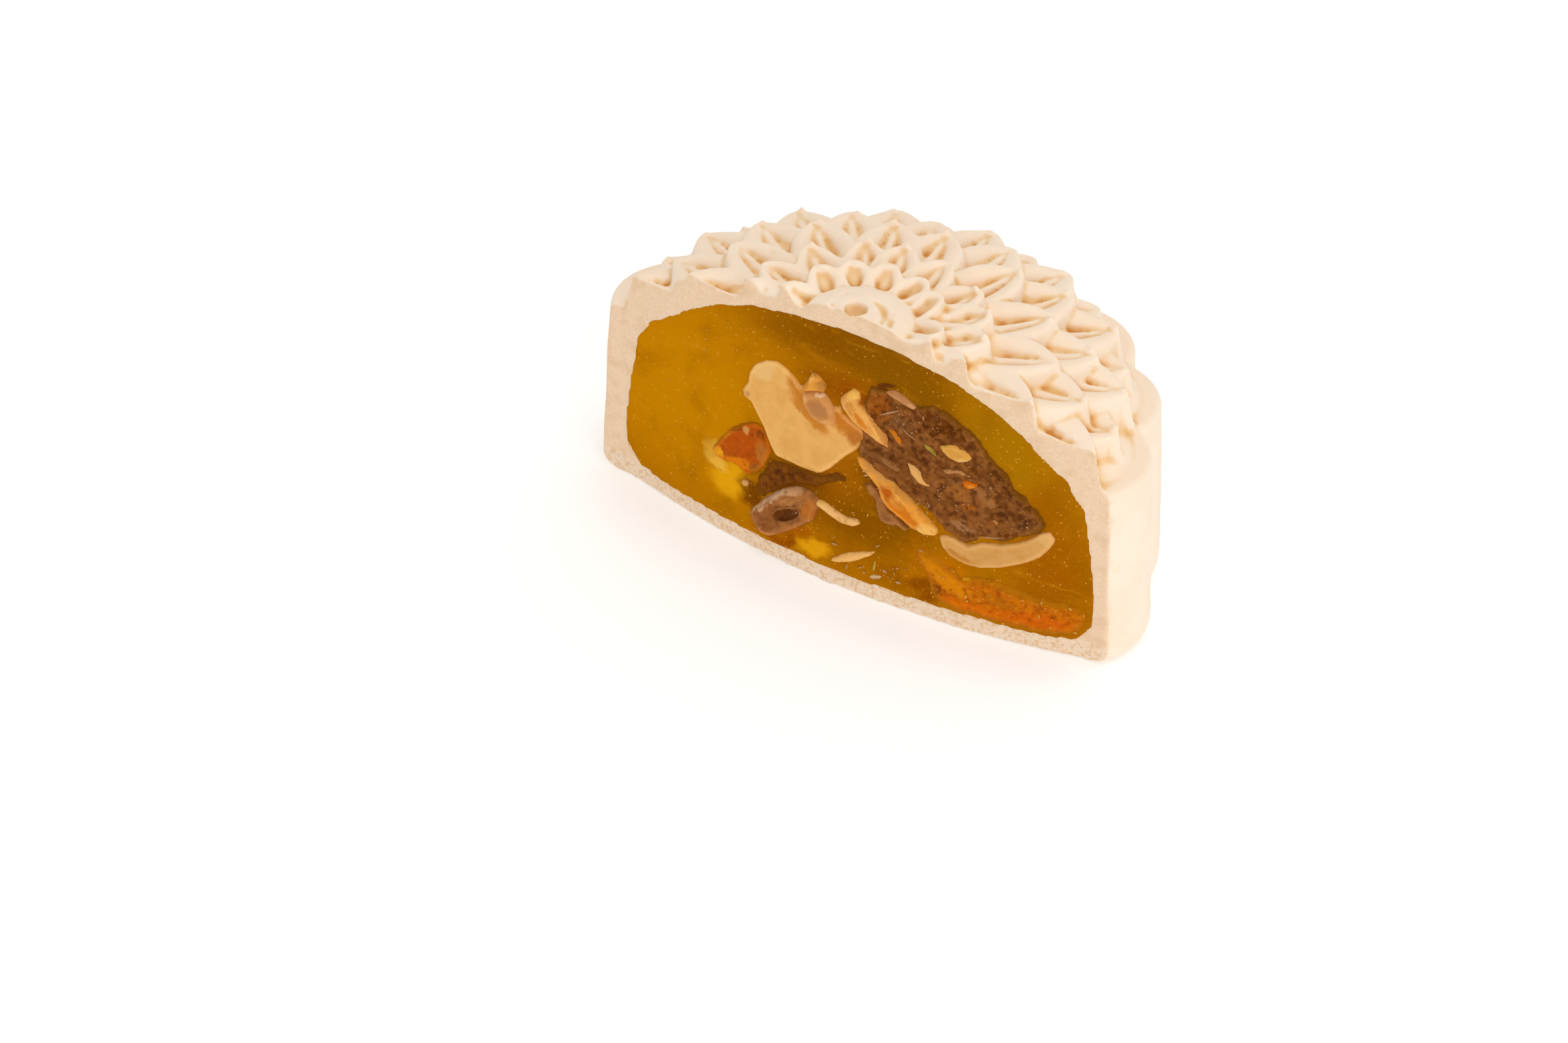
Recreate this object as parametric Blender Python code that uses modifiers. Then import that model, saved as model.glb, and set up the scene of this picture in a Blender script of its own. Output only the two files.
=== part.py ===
# Golden fungus mooncake, the back half of a cut cake.
# A white skin pressed with a chrysanthemum holds amber jelly full of nuts, seeds and brown fungus.
# The round cake's axis is vertical, the cut faces -Y, and the piece rests on z = 0.
import bpy
import bmesh
import math
from mathutils import Matrix

MM = 0.001
GAP = 0.3 * MM

# Outline of the whole round cake, seen from above
LOBES = 16
PITCH = 2 * math.pi / LOBES
GROOVE_RADIUS = 37.5 * MM
LOBE_RADIUS = 40.3 * MM
LOBE_STEPS = 5
SAG = 1.8 * MM               # how far the soft wall spreads at its foot
SAG_LEAN = 0.15              # more of it on the left end than on the right
LEFT_SWELL = 1.5 * MM        # the left end of the cut stands out further at every height
LEFT_SWELL_POWER = 8

# Heights above the table
FOOT_ROUND = 2.4 * MM
LEDGE_HEIGHT = 28.6 * MM
LEDGE_ROUND = 1.0 * MM
LEDGE_INNER_RADIUS = 36.2 * MM
DOME = [(34.0, 29.9), (30.0, 31.9), (26.0, 34.0), (22.0, 36.0), (17.0, 38.2), (12.0, 39.7),
        (6.0, 40.6)]
DOME_TOP = 40.9 * MM

# Rings of petals, outermost first: angles of the tips in degrees, radius and height of the tips,
# length, half width, height of the root, height of the foot, and height of the rib over the root
RINGS = {
    "outer_low": ([i * 22.5 - 11.25 for i in range(10)], 35.8, 33.2, 11.5, 5.4, 33.6, 27.6, 0.3),
    "outer_high": ([i * 22.5 for i in range(9)], 35.6, 34.5, 12.5, 5.6, 37.2, 27.6, 0.3),
    "wide": ([-11.3, 11.4, 30.5, 55.3, 78.5, 100.5, 122.3, 147.0, 172.5, 193.0],
             31.4, 36.8, 12.0, 5.3, 37.8, 29.6, 0.3),
    "middle": ([-1.0, 20.0, 41.0, 66.0, 93.0, 109.5, 134.0, 160.5, 182.0],
               26.5, 39.0, 11.5, 4.8, 38.8, 32.0, 0.3),
    "inner": ([-7.0, 16.3, 34.0, 52.0, 77.0, 99.5, 118.0, 144.0, 167.5, 186.0],
              17.6, 42.0, 9.5, 3.6, 40.6, 34.5, 0.2),
    "heart": ([-8.0, 13.5, 49.5, 71.0, 99.0, 124.0, 149.6, 181.0],
              11.8, 43.0, 6.5, 2.9, 40.8, 36.5, -0.9),
}
ROWS = [0.0, 0.38, 0.66, 0.88, 1.0]
COLUMNS = 9
WIDEST = 0.35                # share of a petal's length at which it is widest
ROOT_WIDTH = 0.85            # width at the root, as a share of the widest
CLOSING = 2.1                # fullness of the outline towards the tip
TIP_WIDTH = 1.0 * MM
TIP_ROUND = 0.7 * MM
SHOULDER = 0.8 * MM          # rounded outer edge of a lip: inwards and down
LIP_RISE = 1.1 * MM          # lips above the rib
LIP_SLOPE = 0.3              # what is left of that at the edge of the hollow
HOLLOW_WIDTH = 0.5           # half width of the hollow, as a share of the petal's, and its taper
HOLLOW_TAPER = 0.85
HOLLOW_TIP = 0.08
HOLLOW_END = 0.88            # share of the length at which the hollow closes
FURROW_PLACE = 0.68          # furrows' distance from the middle, as a share of the hollow
FURROW_DEPTH = 1.3 * MM
WALL_DRAFT = 0.28

# Button in the middle of the flower
BUTTON_RADIUS = 7.6 * MM
BUTTON_TOP = 42.8 * MM
BUTTON_RIM = 40.4 * MM
BUTTON_FULLNESS = 3.2        # the higher, the flatter its top and the rounder its edge
DIMPLE = (1.7 * MM, 1.6 * MM)    # radius and depth
SLITS = [(3.2, -72, 62), (5.2, -62, 18), (4.9, 100, 176)]    # radius, from and to angle
SLIT_RADIUS = 0.4 * MM

# Jelly filling: a turned form, radius and height
JELLY = [(0.0, 39.2), (5.0, 39.1), (10.0, 38.6), (15.0, 37.6), (20.0, 35.6), (24.0, 33.2),
         (28.0, 30.6), (31.6, 27.6), (33.8, 24.2), (35.0, 17.0), (36.2, 8.0), (35.9, 5.2),
         (34.0, 3.6), (30.0, 3.1), (0.0, 2.8)]
TURN_STEPS = 48

# The cut bulges towards the front, most at the foot
TOP_BULGE = 1.0 * MM
FOOT_BULGE = 5.0 * MM
BULGE_HEIGHT = 43.0 * MM
BULGE_REACH = 36.0 * MM
KNIFE_STEPS = 12
FAR = 70.0 * MM

# What shows in the jelly on the cut, in the order in which each keeps its whole outline:
# depth into the jelly, how far it stands out of the cut, and outline as width and height in mm
PIECES = {
    "almond_chip": (4.5, 0.6, [
        (-7.0, 27.2), (-6.2, 28.6), (-4.0, 29.0), (-2.2, 28.2), (-1.4, 26.6), (-1.6, 24.8),
        (-3.2, 24.6), (-5.6, 25.2)]),
    "almond_upper": (5.0, 0.8, [
        (-1.0, 29.6), (0.2, 32.0), (1.8, 31.8), (2.6, 30.2), (5.8, 27.6), (7.0, 24.8), (5.6, 24.5),
        (2.8, 25.8), (0.2, 27.8)]),
    "almond_lower": (5.5, 0.9, [
        (1.9, 22.1), (3.8, 22.0), (6.6, 20.4), (9.6, 19.4), (13.0, 17.4), (14.7, 15.2),
        (14.2, 13.8), (12.2, 13.8), (8.6, 15.4), (5.2, 17.8), (2.8, 20.2)]),
    "bran_sliver": (4.0, 0.4, [
        (4.8, 29.8), (6.2, 29.2), (8.8, 27.4), (9.6, 25.8), (8.6, 25.4), (7.4, 26.6)]),
    "melon_seed": (4.0, 0.5, [
        (13.0, 28.6), (15.4, 29.2), (17.8, 29.2), (19.3, 27.8), (17.6, 26.2), (15.2, 26.2),
        (13.8, 27.2)]),
    "pine_seed": (4.0, 0.5, [
        (9.2, 24.2), (11.0, 23.8), (13.2, 22.6), (13.7, 21.2), (12.0, 21.0), (10.2, 22.3)]),
    "orange_bit": (3.5, 0.3, [
        (17.0, 23.7), (18.7, 24.5), (20.2, 23.9), (19.6, 22.8), (17.8, 22.6)]),
    "round_nut": (3.5, 0.3, [
        (20.7, 18.4), (21.4, 19.6), (22.8, 19.9), (23.7, 19.0), (23.0, 17.7), (21.5, 17.3)]),
    "brown_sliver": (4.0, 0.4, [
        (5.0, 33.3), (6.7, 34.3), (8.8, 33.9), (10.6, 32.4), (9.6, 31.9), (7.2, 32.4)]),
    "mushroom_curl": (5.0, 0.9, [
        (-14.4, 6.0), (-11.8, 9.7), (-9.2, 12.2), (-7.0, 13.1), (-4.2, 12.0), (-3.6, 9.8),
        (-4.8, 7.3), (-7.6, 4.9), (-10.0, 3.9), (-12.6, 4.0)]),
    "pale_strip": (4.0, 0.5, [
        (-3.0, 11.9), (-1.6, 12.5), (0.8, 11.8), (3.3, 11.8), (3.2, 10.6), (0.6, 10.0),
        (-2.4, 10.5)]),
    "nut_slice": (6.0, 0.2, [
        (-16.4, 24.2), (-15.8, 27.3), (-14.6, 29.6), (-12.0, 31.2), (-9.4, 30.9), (-7.6, 28.9),
        (-6.4, 25.9), (-3.6, 24.1), (0.8, 26.0), (3.1, 25.2), (1.6, 21.8), (-2.0, 17.5),
        (-4.6, 16.5), (-9.9, 16.0), (-12.3, 19.5), (-14.4, 22.4)]),
    "cashew_slice": (6.0, 0.2, [
        (14.9, 13.0), (16.0, 11.6), (17.9, 10.4), (20.3, 10.5), (22.5, 11.3), (26.1, 13.3),
        (29.0, 15.3), (30.6, 17.6), (31.0, 19.1), (29.9, 20.2), (28.3, 18.8), (24.4, 16.1),
        (21.4, 14.7), (18.9, 13.8), (16.6, 14.3)]),
    "base_sliver": (3.5, 0.5, [
        (-0.8, 3.9), (0.4, 5.2), (3.4, 6.9), (6.2, 8.1), (4.6, 6.2), (2.2, 4.5)]),
    "amber_fruit": (6.0, 0.2, [
        (-20.8, 12.2), (-19.5, 15.2), (-16.7, 18.5), (-13.6, 20.4), (-11.4, 19.6), (-10.7, 16.0),
        (-12.0, 13.0), (-15.2, 11.4), (-18.6, 11.1)]),
    "candied_peel": (6.0, 0.2, [
        (11.9, 10.8), (14.1, 10.4), (18.0, 9.1), (21.8, 9.2), (25.5, 9.6), (29.1, 9.2),
        (32.5, 9.2), (35.2, 7.8), (35.0, 5.4), (33.0, 4.3), (27.7, 4.0), (20.3, 3.9), (15.5, 4.5),
        (12.9, 7.2)]),
    "fungus_shred": (6.0, 0.2, [
        (-13.0, 12.7), (-10.5, 16.0), (-6.7, 16.0), (-2.6, 16.7), (-0.7, 16.4), (-1.3, 14.1),
        (-4.9, 13.2), (-8.7, 13.0), (-11.8, 11.0), (-13.4, 10.8)]),
    "brown_fungus": (7.0, 0.3, [
        (2.0, 22.3), (2.6, 26.8), (3.0, 33.4), (6.6, 33.8), (10.0, 33.2), (14.3, 33.7),
        (18.1, 32.1), (20.8, 29.7), (23.4, 26.9), (25.8, 24.4), (29.4, 20.8), (28.4, 19.4),
        (24.2, 16.8), (18.4, 14.0), (15.4, 15.0), (11.5, 17.7), (8.3, 18.7), (4.2, 19.6)]),
}
OUTLINE_RESOLUTION = 2

COLOURS = {
    "skin": (0.9, 0.8, 0.66), "jelly": (0.56, 0.33, 0.02), "almond_chip": (0.55, 0.36, 0.2),
    "almond_upper": (0.8, 0.55, 0.27), "almond_lower": (0.8, 0.46, 0.15),
    "bran_sliver": (0.45, 0.18, 0.03), "melon_seed": (0.62, 0.48, 0.18),
    "pine_seed": (0.72, 0.5, 0.24), "orange_bit": (0.62, 0.24, 0.03),
    "round_nut": (0.5, 0.3, 0.16), "brown_sliver": (0.42, 0.24, 0.12),
    "mushroom_curl": (0.3, 0.17, 0.09), "pale_strip": (0.78, 0.58, 0.32),
    "nut_slice": (0.78, 0.55, 0.26), "cashew_slice": (0.74, 0.52, 0.27),
    "base_sliver": (0.78, 0.58, 0.28), "amber_fruit": (0.4, 0.13, 0.01),
    "candied_peel": (0.6, 0.24, 0.01), "fungus_shred": (0.1, 0.045, 0.012),
    "brown_fungus": (0.12, 0.06, 0.03),
}


def clear_scene():
    for ob in list(bpy.data.objects):
        bpy.data.objects.remove(ob)


def new_collection(name):
    group = bpy.data.collections.new(name)
    bpy.context.scene.collection.children.link(group)
    return group


def new_object(name, bm, group):
    mesh = bpy.data.meshes.new(name)
    bm.to_mesh(mesh)
    bm.free()
    ob = bpy.data.objects.new(name, mesh)
    group.objects.link(ob)
    return ob


def finish_colour(ob, colour, roughness):
    mat = bpy.data.materials.new(ob.name)
    mat.use_nodes = True
    shader = mat.node_tree.nodes["Principled BSDF"]
    shader.inputs["Base Color"].default_value = (*colour, 1.0)
    shader.inputs["Roughness"].default_value = roughness
    ob.data.materials.clear()
    ob.data.materials.append(mat)


def apply_modifiers(ob):
    graph = bpy.context.evaluated_depsgraph_get()
    mesh = bpy.data.meshes.new_from_object(ob.evaluated_get(graph))
    ob.modifiers.clear()
    ob.data = mesh
    mesh.name = ob.name


def boolean(ob, operation, other=None, group=None, solver="EXACT"):
    mod = ob.modifiers.new(operation.lower(), "BOOLEAN")
    mod.operation = operation
    mod.solver = solver
    if group:
        mod.operand_type = "COLLECTION"
        mod.collection = group
    else:
        mod.object = other
    apply_modifiers(ob)


def keep_largest_body(ob):
    """Drops the loose scraps that a cut leaves, so that the node is one body."""
    bm = bmesh.new()
    bm.from_mesh(ob.data)
    bmesh.ops.remove_doubles(bm, verts=bm.verts, dist=0.002 * MM)
    bodies = []
    left = set(bm.faces)
    while left:
        stack = [left.pop()]
        body = set(stack)
        while stack:
            for edge in stack.pop().edges:
                for face in edge.link_faces:
                    if face in left:
                        left.discard(face)
                        body.add(face)
                        stack.append(face)
        bodies.append(body)
    bodies.sort(key=lambda body: sum(face.calc_area() for face in body))
    loose = [face for body in bodies[:-1] for face in body]
    if loose:
        bmesh.ops.delete(bm, geom=loose, context="FACES")
    bm.to_mesh(ob.data)
    bm.free()


def lobe_radius(angle, at_groove, at_lobe):
    """Radius of the lobed outline: one arc of a circle from groove to groove."""
    half = PITCH / 2
    chord = at_groove * math.sin(half)
    rise = at_lobe - at_groove * math.cos(half)
    arc = (chord ** 2 + rise ** 2) / (2 * rise)
    centre = at_lobe - arc
    turn = (angle % PITCH) - half
    return centre * math.cos(turn) + math.sqrt(arc ** 2 - (centre * math.sin(turn)) ** 2)


def outline_ring(bm, height, inset, round_to=0.0):
    """One ring of points of the wall. round_to blends the lobes into the circle of the ledge."""
    spread = SAG * (1 - height / LEDGE_HEIGHT) if height < LEDGE_HEIGHT else 0.0
    ring = []
    for i in range(LOBES * LOBE_STEPS):
        angle = i * PITCH / LOBE_STEPS
        r = lobe_radius(angle, GROOVE_RADIUS, LOBE_RADIUS) - inset
        r += spread * (1 - SAG_LEAN * math.cos(angle))
        r += LEFT_SWELL * max(0.0, -math.cos(angle)) ** LEFT_SWELL_POWER
        r = r * (1 - round_to) + LEDGE_INNER_RADIUS * round_to
        ring.append(bm.verts.new((r * math.cos(angle), r * math.sin(angle), height)))
    return ring


def circle_ring(bm, radius, height):
    count = LOBES * LOBE_STEPS
    turns = [2 * math.pi * i / count for i in range(count)]
    return [bm.verts.new((radius * math.cos(a), radius * math.sin(a), height)) for a in turns]


def cake_body(group):
    """Loft of the lobed wall, its rounded foot, the ledge and the dome under the petals."""
    bm = bmesh.new()
    rings = []
    for i in range(3):
        turn = math.pi / 2 * i / 2
        rings.append(outline_ring(bm, FOOT_ROUND * (1 - math.sin(turn)) if i < 2 else 0.0,
                                  FOOT_ROUND * (1 - math.cos(turn))))
    rings.reverse()
    for i in range(3):
        turn = math.pi / 2 * i / 2
        rings.append(outline_ring(bm, LEDGE_HEIGHT - LEDGE_ROUND * (1 - math.sin(turn)),
                                  LEDGE_ROUND * (1 - math.cos(turn))))
    rings.append(outline_ring(bm, LEDGE_HEIGHT, 0.0, round_to=1.0))
    for radius, height in DOME:
        rings.append(circle_ring(bm, radius * MM, height * MM))
    for low, high in zip(rings, rings[1:]):
        for i in range(len(low)):
            j = (i + 1) % len(low)
            bm.faces.new((low[i], low[j], high[j], high[i]))
    bm.faces.new(reversed(rings[0]))
    top = bm.verts.new((0.0, 0.0, DOME_TOP))
    last = rings[-1]
    for i in range(len(last)):
        bm.faces.new((last[i], last[(i + 1) % len(last)], top))
    return new_object("skin", bm, group)


def petal_width(share, half_width):
    """Half width of a petal along its length: it swells from the root, then closes to a blunt tip."""
    if share < WIDEST:
        return half_width * (ROOT_WIDTH + (1 - ROOT_WIDTH) * math.sin(math.pi / 2 * share / WIDEST))
    closing = (share - WIDEST) / (1 - WIDEST)
    return TIP_WIDTH + (half_width - TIP_WIDTH) * (1 - closing ** CLOSING)


def petal_section(share, half_width, rib):
    """Half a cross-section, edge to middle: offset and height over the line from root to tip.
    A plump lip falls to a furrow, and the two furrows of a petal leave a rib between them."""
    edge = petal_width(share, half_width)
    shoulder = min(SHOULDER, edge * 0.3)
    closing = max(0.0, 1 - share / HOLLOW_END)
    hollow = half_width * max(HOLLOW_TIP, min(HOLLOW_WIDTH, HOLLOW_TAPER * closing))
    lip = LIP_RISE * (1 - share ** 3)
    depth = FURROW_DEPTH * min(1.0, half_width / (4 * MM)) * min(1.0, 2 * closing)
    return [(edge, lip - shoulder), (edge - shoulder, lip), (hollow, lip * LIP_SLOPE),
            (hollow * FURROW_PLACE, -depth), (0.0, rib * min(1.0, 2 * closing))]


def petal(group, name, angle, tip_radius, tip, length, half_width, root, foot, rib):
    """A grid shaped as the petal's upper side, then extruded down to a flaring foot."""
    bm = bmesh.new()
    bmesh.ops.create_grid(bm, x_segments=COLUMNS - 1, y_segments=len(ROWS) - 1, size=1.0)
    middle_column = COLUMNS // 2
    for v in bm.verts:
        column = round((v.co.x + 1) / 2 * (COLUMNS - 1)) - middle_column
        share = ROWS[round((v.co.y + 1) / 2 * (len(ROWS) - 1))]
        offset, rise = petal_section(share, half_width, rib)[middle_column - abs(column)]
        across = offset / petal_width(share, half_width)
        v.co.x = tip_radius - length * (1 - share) - TIP_ROUND * across ** 2 * share ** 4
        v.co.y = -math.copysign(offset, column)
        v.co.z = root + (tip - root) * share + rise
    wall = bmesh.ops.extrude_face_region(bm, geom=bm.faces[:], use_keep_orig=True)
    lower = [v for v in wall["geom"] if isinstance(v, bmesh.types.BMVert)]
    middle = tip_radius - length * 0.6
    for v in lower:
        drop = v.co.z - foot
        away = math.hypot(v.co.x - middle, v.co.y)
        if v.co.x > middle - length * 0.1 and away > 0:
            v.co.x += (v.co.x - middle) / away * drop * WALL_DRAFT
            v.co.y += v.co.y / away * drop * WALL_DRAFT
        v.co.z = foot
    bmesh.ops.dissolve_limit(bm, angle_limit=0.001, verts=lower,
                             edges=[e for e in bm.edges if all(v.co.z == foot for v in e.verts)])
    bmesh.ops.recalc_face_normals(bm, faces=bm.faces)
    bmesh.ops.rotate(bm, cent=(0, 0, 0), matrix=Matrix.Rotation(angle, 3, "Z"), verts=bm.verts)
    return new_object(name, bm, group)


def flower(group):
    """All rings of petals that the half cake keeps, with one petal past each end of the cut."""
    for ring, (angles, *sizes) in RINGS.items():
        for i, angle in enumerate(angles):
            petal(group, f"{ring}_{i}", math.radians(angle), *(size * MM for size in sizes))


def turned(name, profile, group, steps):
    """A closed solid of revolution from a profile that starts and ends on the axis."""
    mesh = bpy.data.meshes.new(name)
    points = [(r, 0.0, z) for r, z in profile]
    mesh.from_pydata(points, [(i, i + 1) for i in range(len(points) - 1)], [])
    ob = bpy.data.objects.new(name, mesh)
    group.objects.link(ob)
    screw = ob.modifiers.new("turn", "SCREW")
    screw.steps = steps
    screw.render_steps = steps
    screw.use_merge_vertices = True
    screw.merge_threshold = 0.00001
    screw.use_smooth_shade = False
    apply_modifiers(ob)
    return ob


def button_height(radius):
    fall = min(1.0, radius / BUTTON_RADIUS) ** BUTTON_FULLNESS
    return BUTTON_RIM + (BUTTON_TOP - BUTTON_RIM) * (1 - fall) ** (1 / BUTTON_FULLNESS)


def button(group):
    """The flower's heart: a low dome with its edge sunk among the petals."""
    profile = [(0.0, BUTTON_TOP)]
    for share in (0.5, 0.75, 0.9, 0.98, 1.0):
        profile.append((BUTTON_RADIUS * share, button_height(BUTTON_RADIUS * share)))
    profile.append((BUTTON_RADIUS, BUTTON_RIM - 2 * MM))
    profile.append((0.0, BUTTON_RIM - 2 * MM))
    return turned("button", profile, group, 32)


def swirl(group):
    """Cutters for the button's dimple and the curled slits round it."""
    radius, depth = DIMPLE
    bm = bmesh.new()
    bmesh.ops.create_uvsphere(bm, u_segments=10, v_segments=6, radius=radius)
    bmesh.ops.scale(bm, vec=(1, 1, depth / radius), verts=bm.verts)
    bmesh.ops.translate(bm, vec=(0, 0, BUTTON_TOP), verts=bm.verts)
    cutters = [new_object("dimple", bm, group)]
    for i, (around, start, end) in enumerate(SLITS):
        curve = bpy.data.curves.new(f"slit_{i}", "CURVE")
        curve.dimensions = "3D"
        curve.bevel_depth = SLIT_RADIUS
        curve.bevel_resolution = 1
        curve.use_fill_caps = True
        spline = curve.splines.new("POLY")
        count = 8
        spline.points.add(count - 1)
        for j in range(count):
            share = j / (count - 1)
            angle = math.radians(start + (end - start) * share)
            r = around * MM * (1 + 0.18 * share)
            spline.points[j].co = (r * math.cos(angle), r * math.sin(angle), button_height(r), 1.0)
            spline.points[j].radius = 0.35 + 1.1 * math.sin(math.pi * share)
        source = bpy.data.objects.new(f"slit_{i}", curve)
        group.objects.link(source)
        cutters.append(curve_to_solid(source, group))
    return cutters


def curve_to_solid(source, group):
    """Turns a capped curve object into a closed mesh object and removes the curve."""
    graph = bpy.context.evaluated_depsgraph_get()
    mesh = bpy.data.meshes.new_from_object(source.evaluated_get(graph))
    bm = bmesh.new()
    bm.from_mesh(mesh)
    bmesh.ops.transform(bm, matrix=source.matrix_world, verts=bm.verts)
    bmesh.ops.remove_doubles(bm, verts=bm.verts, dist=0.001 * MM)
    bmesh.ops.recalc_face_normals(bm, faces=bm.faces)
    name = source.name
    bpy.data.objects.remove(source)
    bpy.data.meshes.remove(mesh)
    return new_object(name, bm, group)


def bulge(x, z):
    """How far the cut stands in front of the cake's axis."""
    across = max(0.0, 1 - (x / BULGE_REACH) ** 2)
    up = min(1.0, max(0.0, z / BULGE_HEIGHT))
    return (FOOT_BULGE + (TOP_BULGE - FOOT_BULGE) * up) * across


def knife(group, name, out):
    """All that lies in front of the cut, as one block whose back face is the bulging cut."""
    bm = bmesh.new()
    bmesh.ops.create_cube(bm, size=1.0)
    bmesh.ops.bisect_plane(bm, geom=bm.verts[:] + bm.edges[:] + bm.faces[:],
                           plane_co=(0, 0, -0.5 + 1 / 3), plane_no=(0, 0, 1))
    bmesh.ops.bisect_plane(bm, geom=bm.verts[:] + bm.edges[:] + bm.faces[:],
                           plane_co=(0, 0, -0.5 + 2 / 3), plane_no=(0, 0, 1))
    for i in range(KNIFE_STEPS + 1):
        bmesh.ops.bisect_plane(bm, geom=bm.verts[:] + bm.edges[:] + bm.faces[:],
                               plane_co=(-0.25 + 0.5 * i / KNIFE_STEPS, 0, 0), plane_no=(1, 0, 0))
    for v in bm.verts:
        back = v.co.y > 0
        reach = min(1.0, abs(v.co.x) / 0.25)
        beyond = max(0.0, abs(v.co.x) - 0.25) / 0.25
        x = math.copysign(BULGE_REACH * reach + (FAR - BULGE_REACH) * beyond, v.co.x)
        level = round((v.co.z + 0.5) * 3)
        z = (-FAR, 0.0, BULGE_HEIGHT, FAR)[level]
        v.co = (x, (-bulge(x, z) if back else -FAR) - out, z)
    return new_object(name, bm, group)


def piece_solid(group, name, outline, depth, out, swell):
    """An outline on the cut, run back into the jelly. swell makes it larger all round."""
    curve = bpy.data.curves.new(name, "CURVE")
    curve.dimensions = "2D"
    curve.fill_mode = "BOTH"
    curve.resolution_u = OUTLINE_RESOLUTION
    curve.offset = swell
    front = FOOT_BULGE + out + 2 * MM
    x_mid = sum(x for x, z in outline) / len(outline) * MM
    z_mid = sum(z for x, z in outline) / len(outline) * MM
    back = depth * MM - bulge(x_mid, z_mid) + swell
    curve.extrude = (front + back) / 2
    spline = curve.splines.new("BEZIER")
    spline.use_cyclic_u = True
    spline.bezier_points.add(len(outline) - 1)
    for point, (x, z) in zip(spline.bezier_points, outline):
        point.co = (x * MM, z * MM, 0.0)
        point.handle_left_type = "AUTO"
        point.handle_right_type = "AUTO"
    source = bpy.data.objects.new(name, curve)
    source.rotation_euler = (math.pi / 2, 0, 0)
    source.location = (0, (back - front) / 2, 0)
    group.objects.link(source)
    bpy.context.view_layer.update()
    return curve_to_solid(source, group)


def filling(parts, cutters):
    """The jelly and every piece that shows in it, each clear of the pieces before it."""
    jelly = turned("jelly", [(r * MM, z * MM) for r, z in JELLY], parts, TURN_STEPS)
    swollen = []
    for name, (depth, out, outline) in PIECES.items():
        ob = piece_solid(parts, name, outline, depth, out * MM, 0.0)
        for other in swollen:
            boolean(ob, "DIFFERENCE", other)
        blade = knife(cutters, "knife_" + name, out * MM)
        boolean(ob, "DIFFERENCE", blade)
        keep_largest_body(ob)
        finish_colour(ob, COLOURS[name], 0.45)
        pocket = piece_solid(cutters, "pocket_" + name, outline, depth, out * MM, GAP)
        boolean(jelly, "DIFFERENCE", pocket)
        swollen.append(pocket)
    boolean(jelly, "DIFFERENCE", knife(cutters, "knife_jelly", 0.0))
    keep_largest_body(jelly)
    finish_colour(jelly, COLOURS["jelly"], 0.2)
    return jelly


def shell(parts, cutters):
    """The white skin: body, petals and button in one, hollowed for the jelly and cut."""
    skin = cake_body(parts)
    petals = new_collection("petals")
    flower(petals)
    button(petals)
    boolean(skin, "UNION", group=petals, solver="MANIFOLD")
    for ob in list(petals.objects):
        bpy.data.objects.remove(ob)
    bpy.data.collections.remove(petals)
    for cutter in swirl(cutters):
        boolean(skin, "DIFFERENCE", cutter, solver="MANIFOLD")
    last = len(JELLY) - 1
    hollow = [(0.0 if i in (0, last) else r * MM + GAP, z * MM + (GAP if z > 5 else -GAP))
              for i, (r, z) in enumerate(JELLY)]
    boolean(skin, "DIFFERENCE", turned("hollow", hollow, cutters, TURN_STEPS), solver="MANIFOLD")
    boolean(skin, "DIFFERENCE", knife(cutters, "knife_skin", 0.0), solver="MANIFOLD")
    keep_largest_body(skin)
    finish_colour(skin, COLOURS["skin"], 0.6)
    return skin


def centre_on_base(parts):
    """Moves everything so that the origin is the middle of the base of the piece."""
    xs = [v.co.x for ob in parts.objects for v in ob.data.vertices]
    ys = [v.co.y for ob in parts.objects for v in ob.data.vertices]
    shift = Matrix.Translation((-(min(xs) + max(xs)) / 2, -(min(ys) + max(ys)) / 2, 0.0))
    for ob in parts.objects:
        ob.data.transform(shift)


def main():
    clear_scene()
    parts = new_collection("golden_fungus_mooncake")
    cutters = new_collection("cutters")
    shell(parts, cutters)
    filling(parts, cutters)
    centre_on_base(parts)
    for ob in cutters.objects:
        ob.hide_render = True
        ob.display_type = "WIRE"


main()
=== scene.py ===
import math
import random

import bmesh
import bpy
import numpy as np
from mathutils import Matrix, Vector


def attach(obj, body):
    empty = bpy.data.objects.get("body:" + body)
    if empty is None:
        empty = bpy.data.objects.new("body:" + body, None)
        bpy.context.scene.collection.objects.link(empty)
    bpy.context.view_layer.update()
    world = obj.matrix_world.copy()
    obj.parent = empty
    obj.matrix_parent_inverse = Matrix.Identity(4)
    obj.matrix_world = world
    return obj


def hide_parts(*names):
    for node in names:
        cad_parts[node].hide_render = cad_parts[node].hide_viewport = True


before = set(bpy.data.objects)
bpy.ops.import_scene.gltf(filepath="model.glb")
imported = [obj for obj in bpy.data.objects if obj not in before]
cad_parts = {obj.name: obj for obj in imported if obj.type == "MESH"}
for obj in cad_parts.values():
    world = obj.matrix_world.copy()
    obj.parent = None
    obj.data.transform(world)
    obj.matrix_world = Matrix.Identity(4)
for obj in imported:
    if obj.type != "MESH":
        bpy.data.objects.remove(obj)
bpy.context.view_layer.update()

# The back half of a cut mooncake: a white pressed skin round amber jelly full of nuts and fungus.
# Forms are made round the cake's own axis, then moved to where the axis stands on the part.
MM = 0.001
AXIS = Vector((0.91 * MM, -18.08 * MM, 0.0))
SEED = 16

# Outline of the round cake, seen from above
LOBES = 16
PITCH = 2 * math.pi / LOBES
LOBE_STEPS = 12
GROOVE_RADIUS = 37.5 * MM
LOBE_RADIUS = 40.3 * MM
MEAN_RADIUS = 38.9 * MM
SAG = 1.8 * MM
SAG_LEAN = 0.15
LEFT_SWELL = 1.5 * MM

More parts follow.
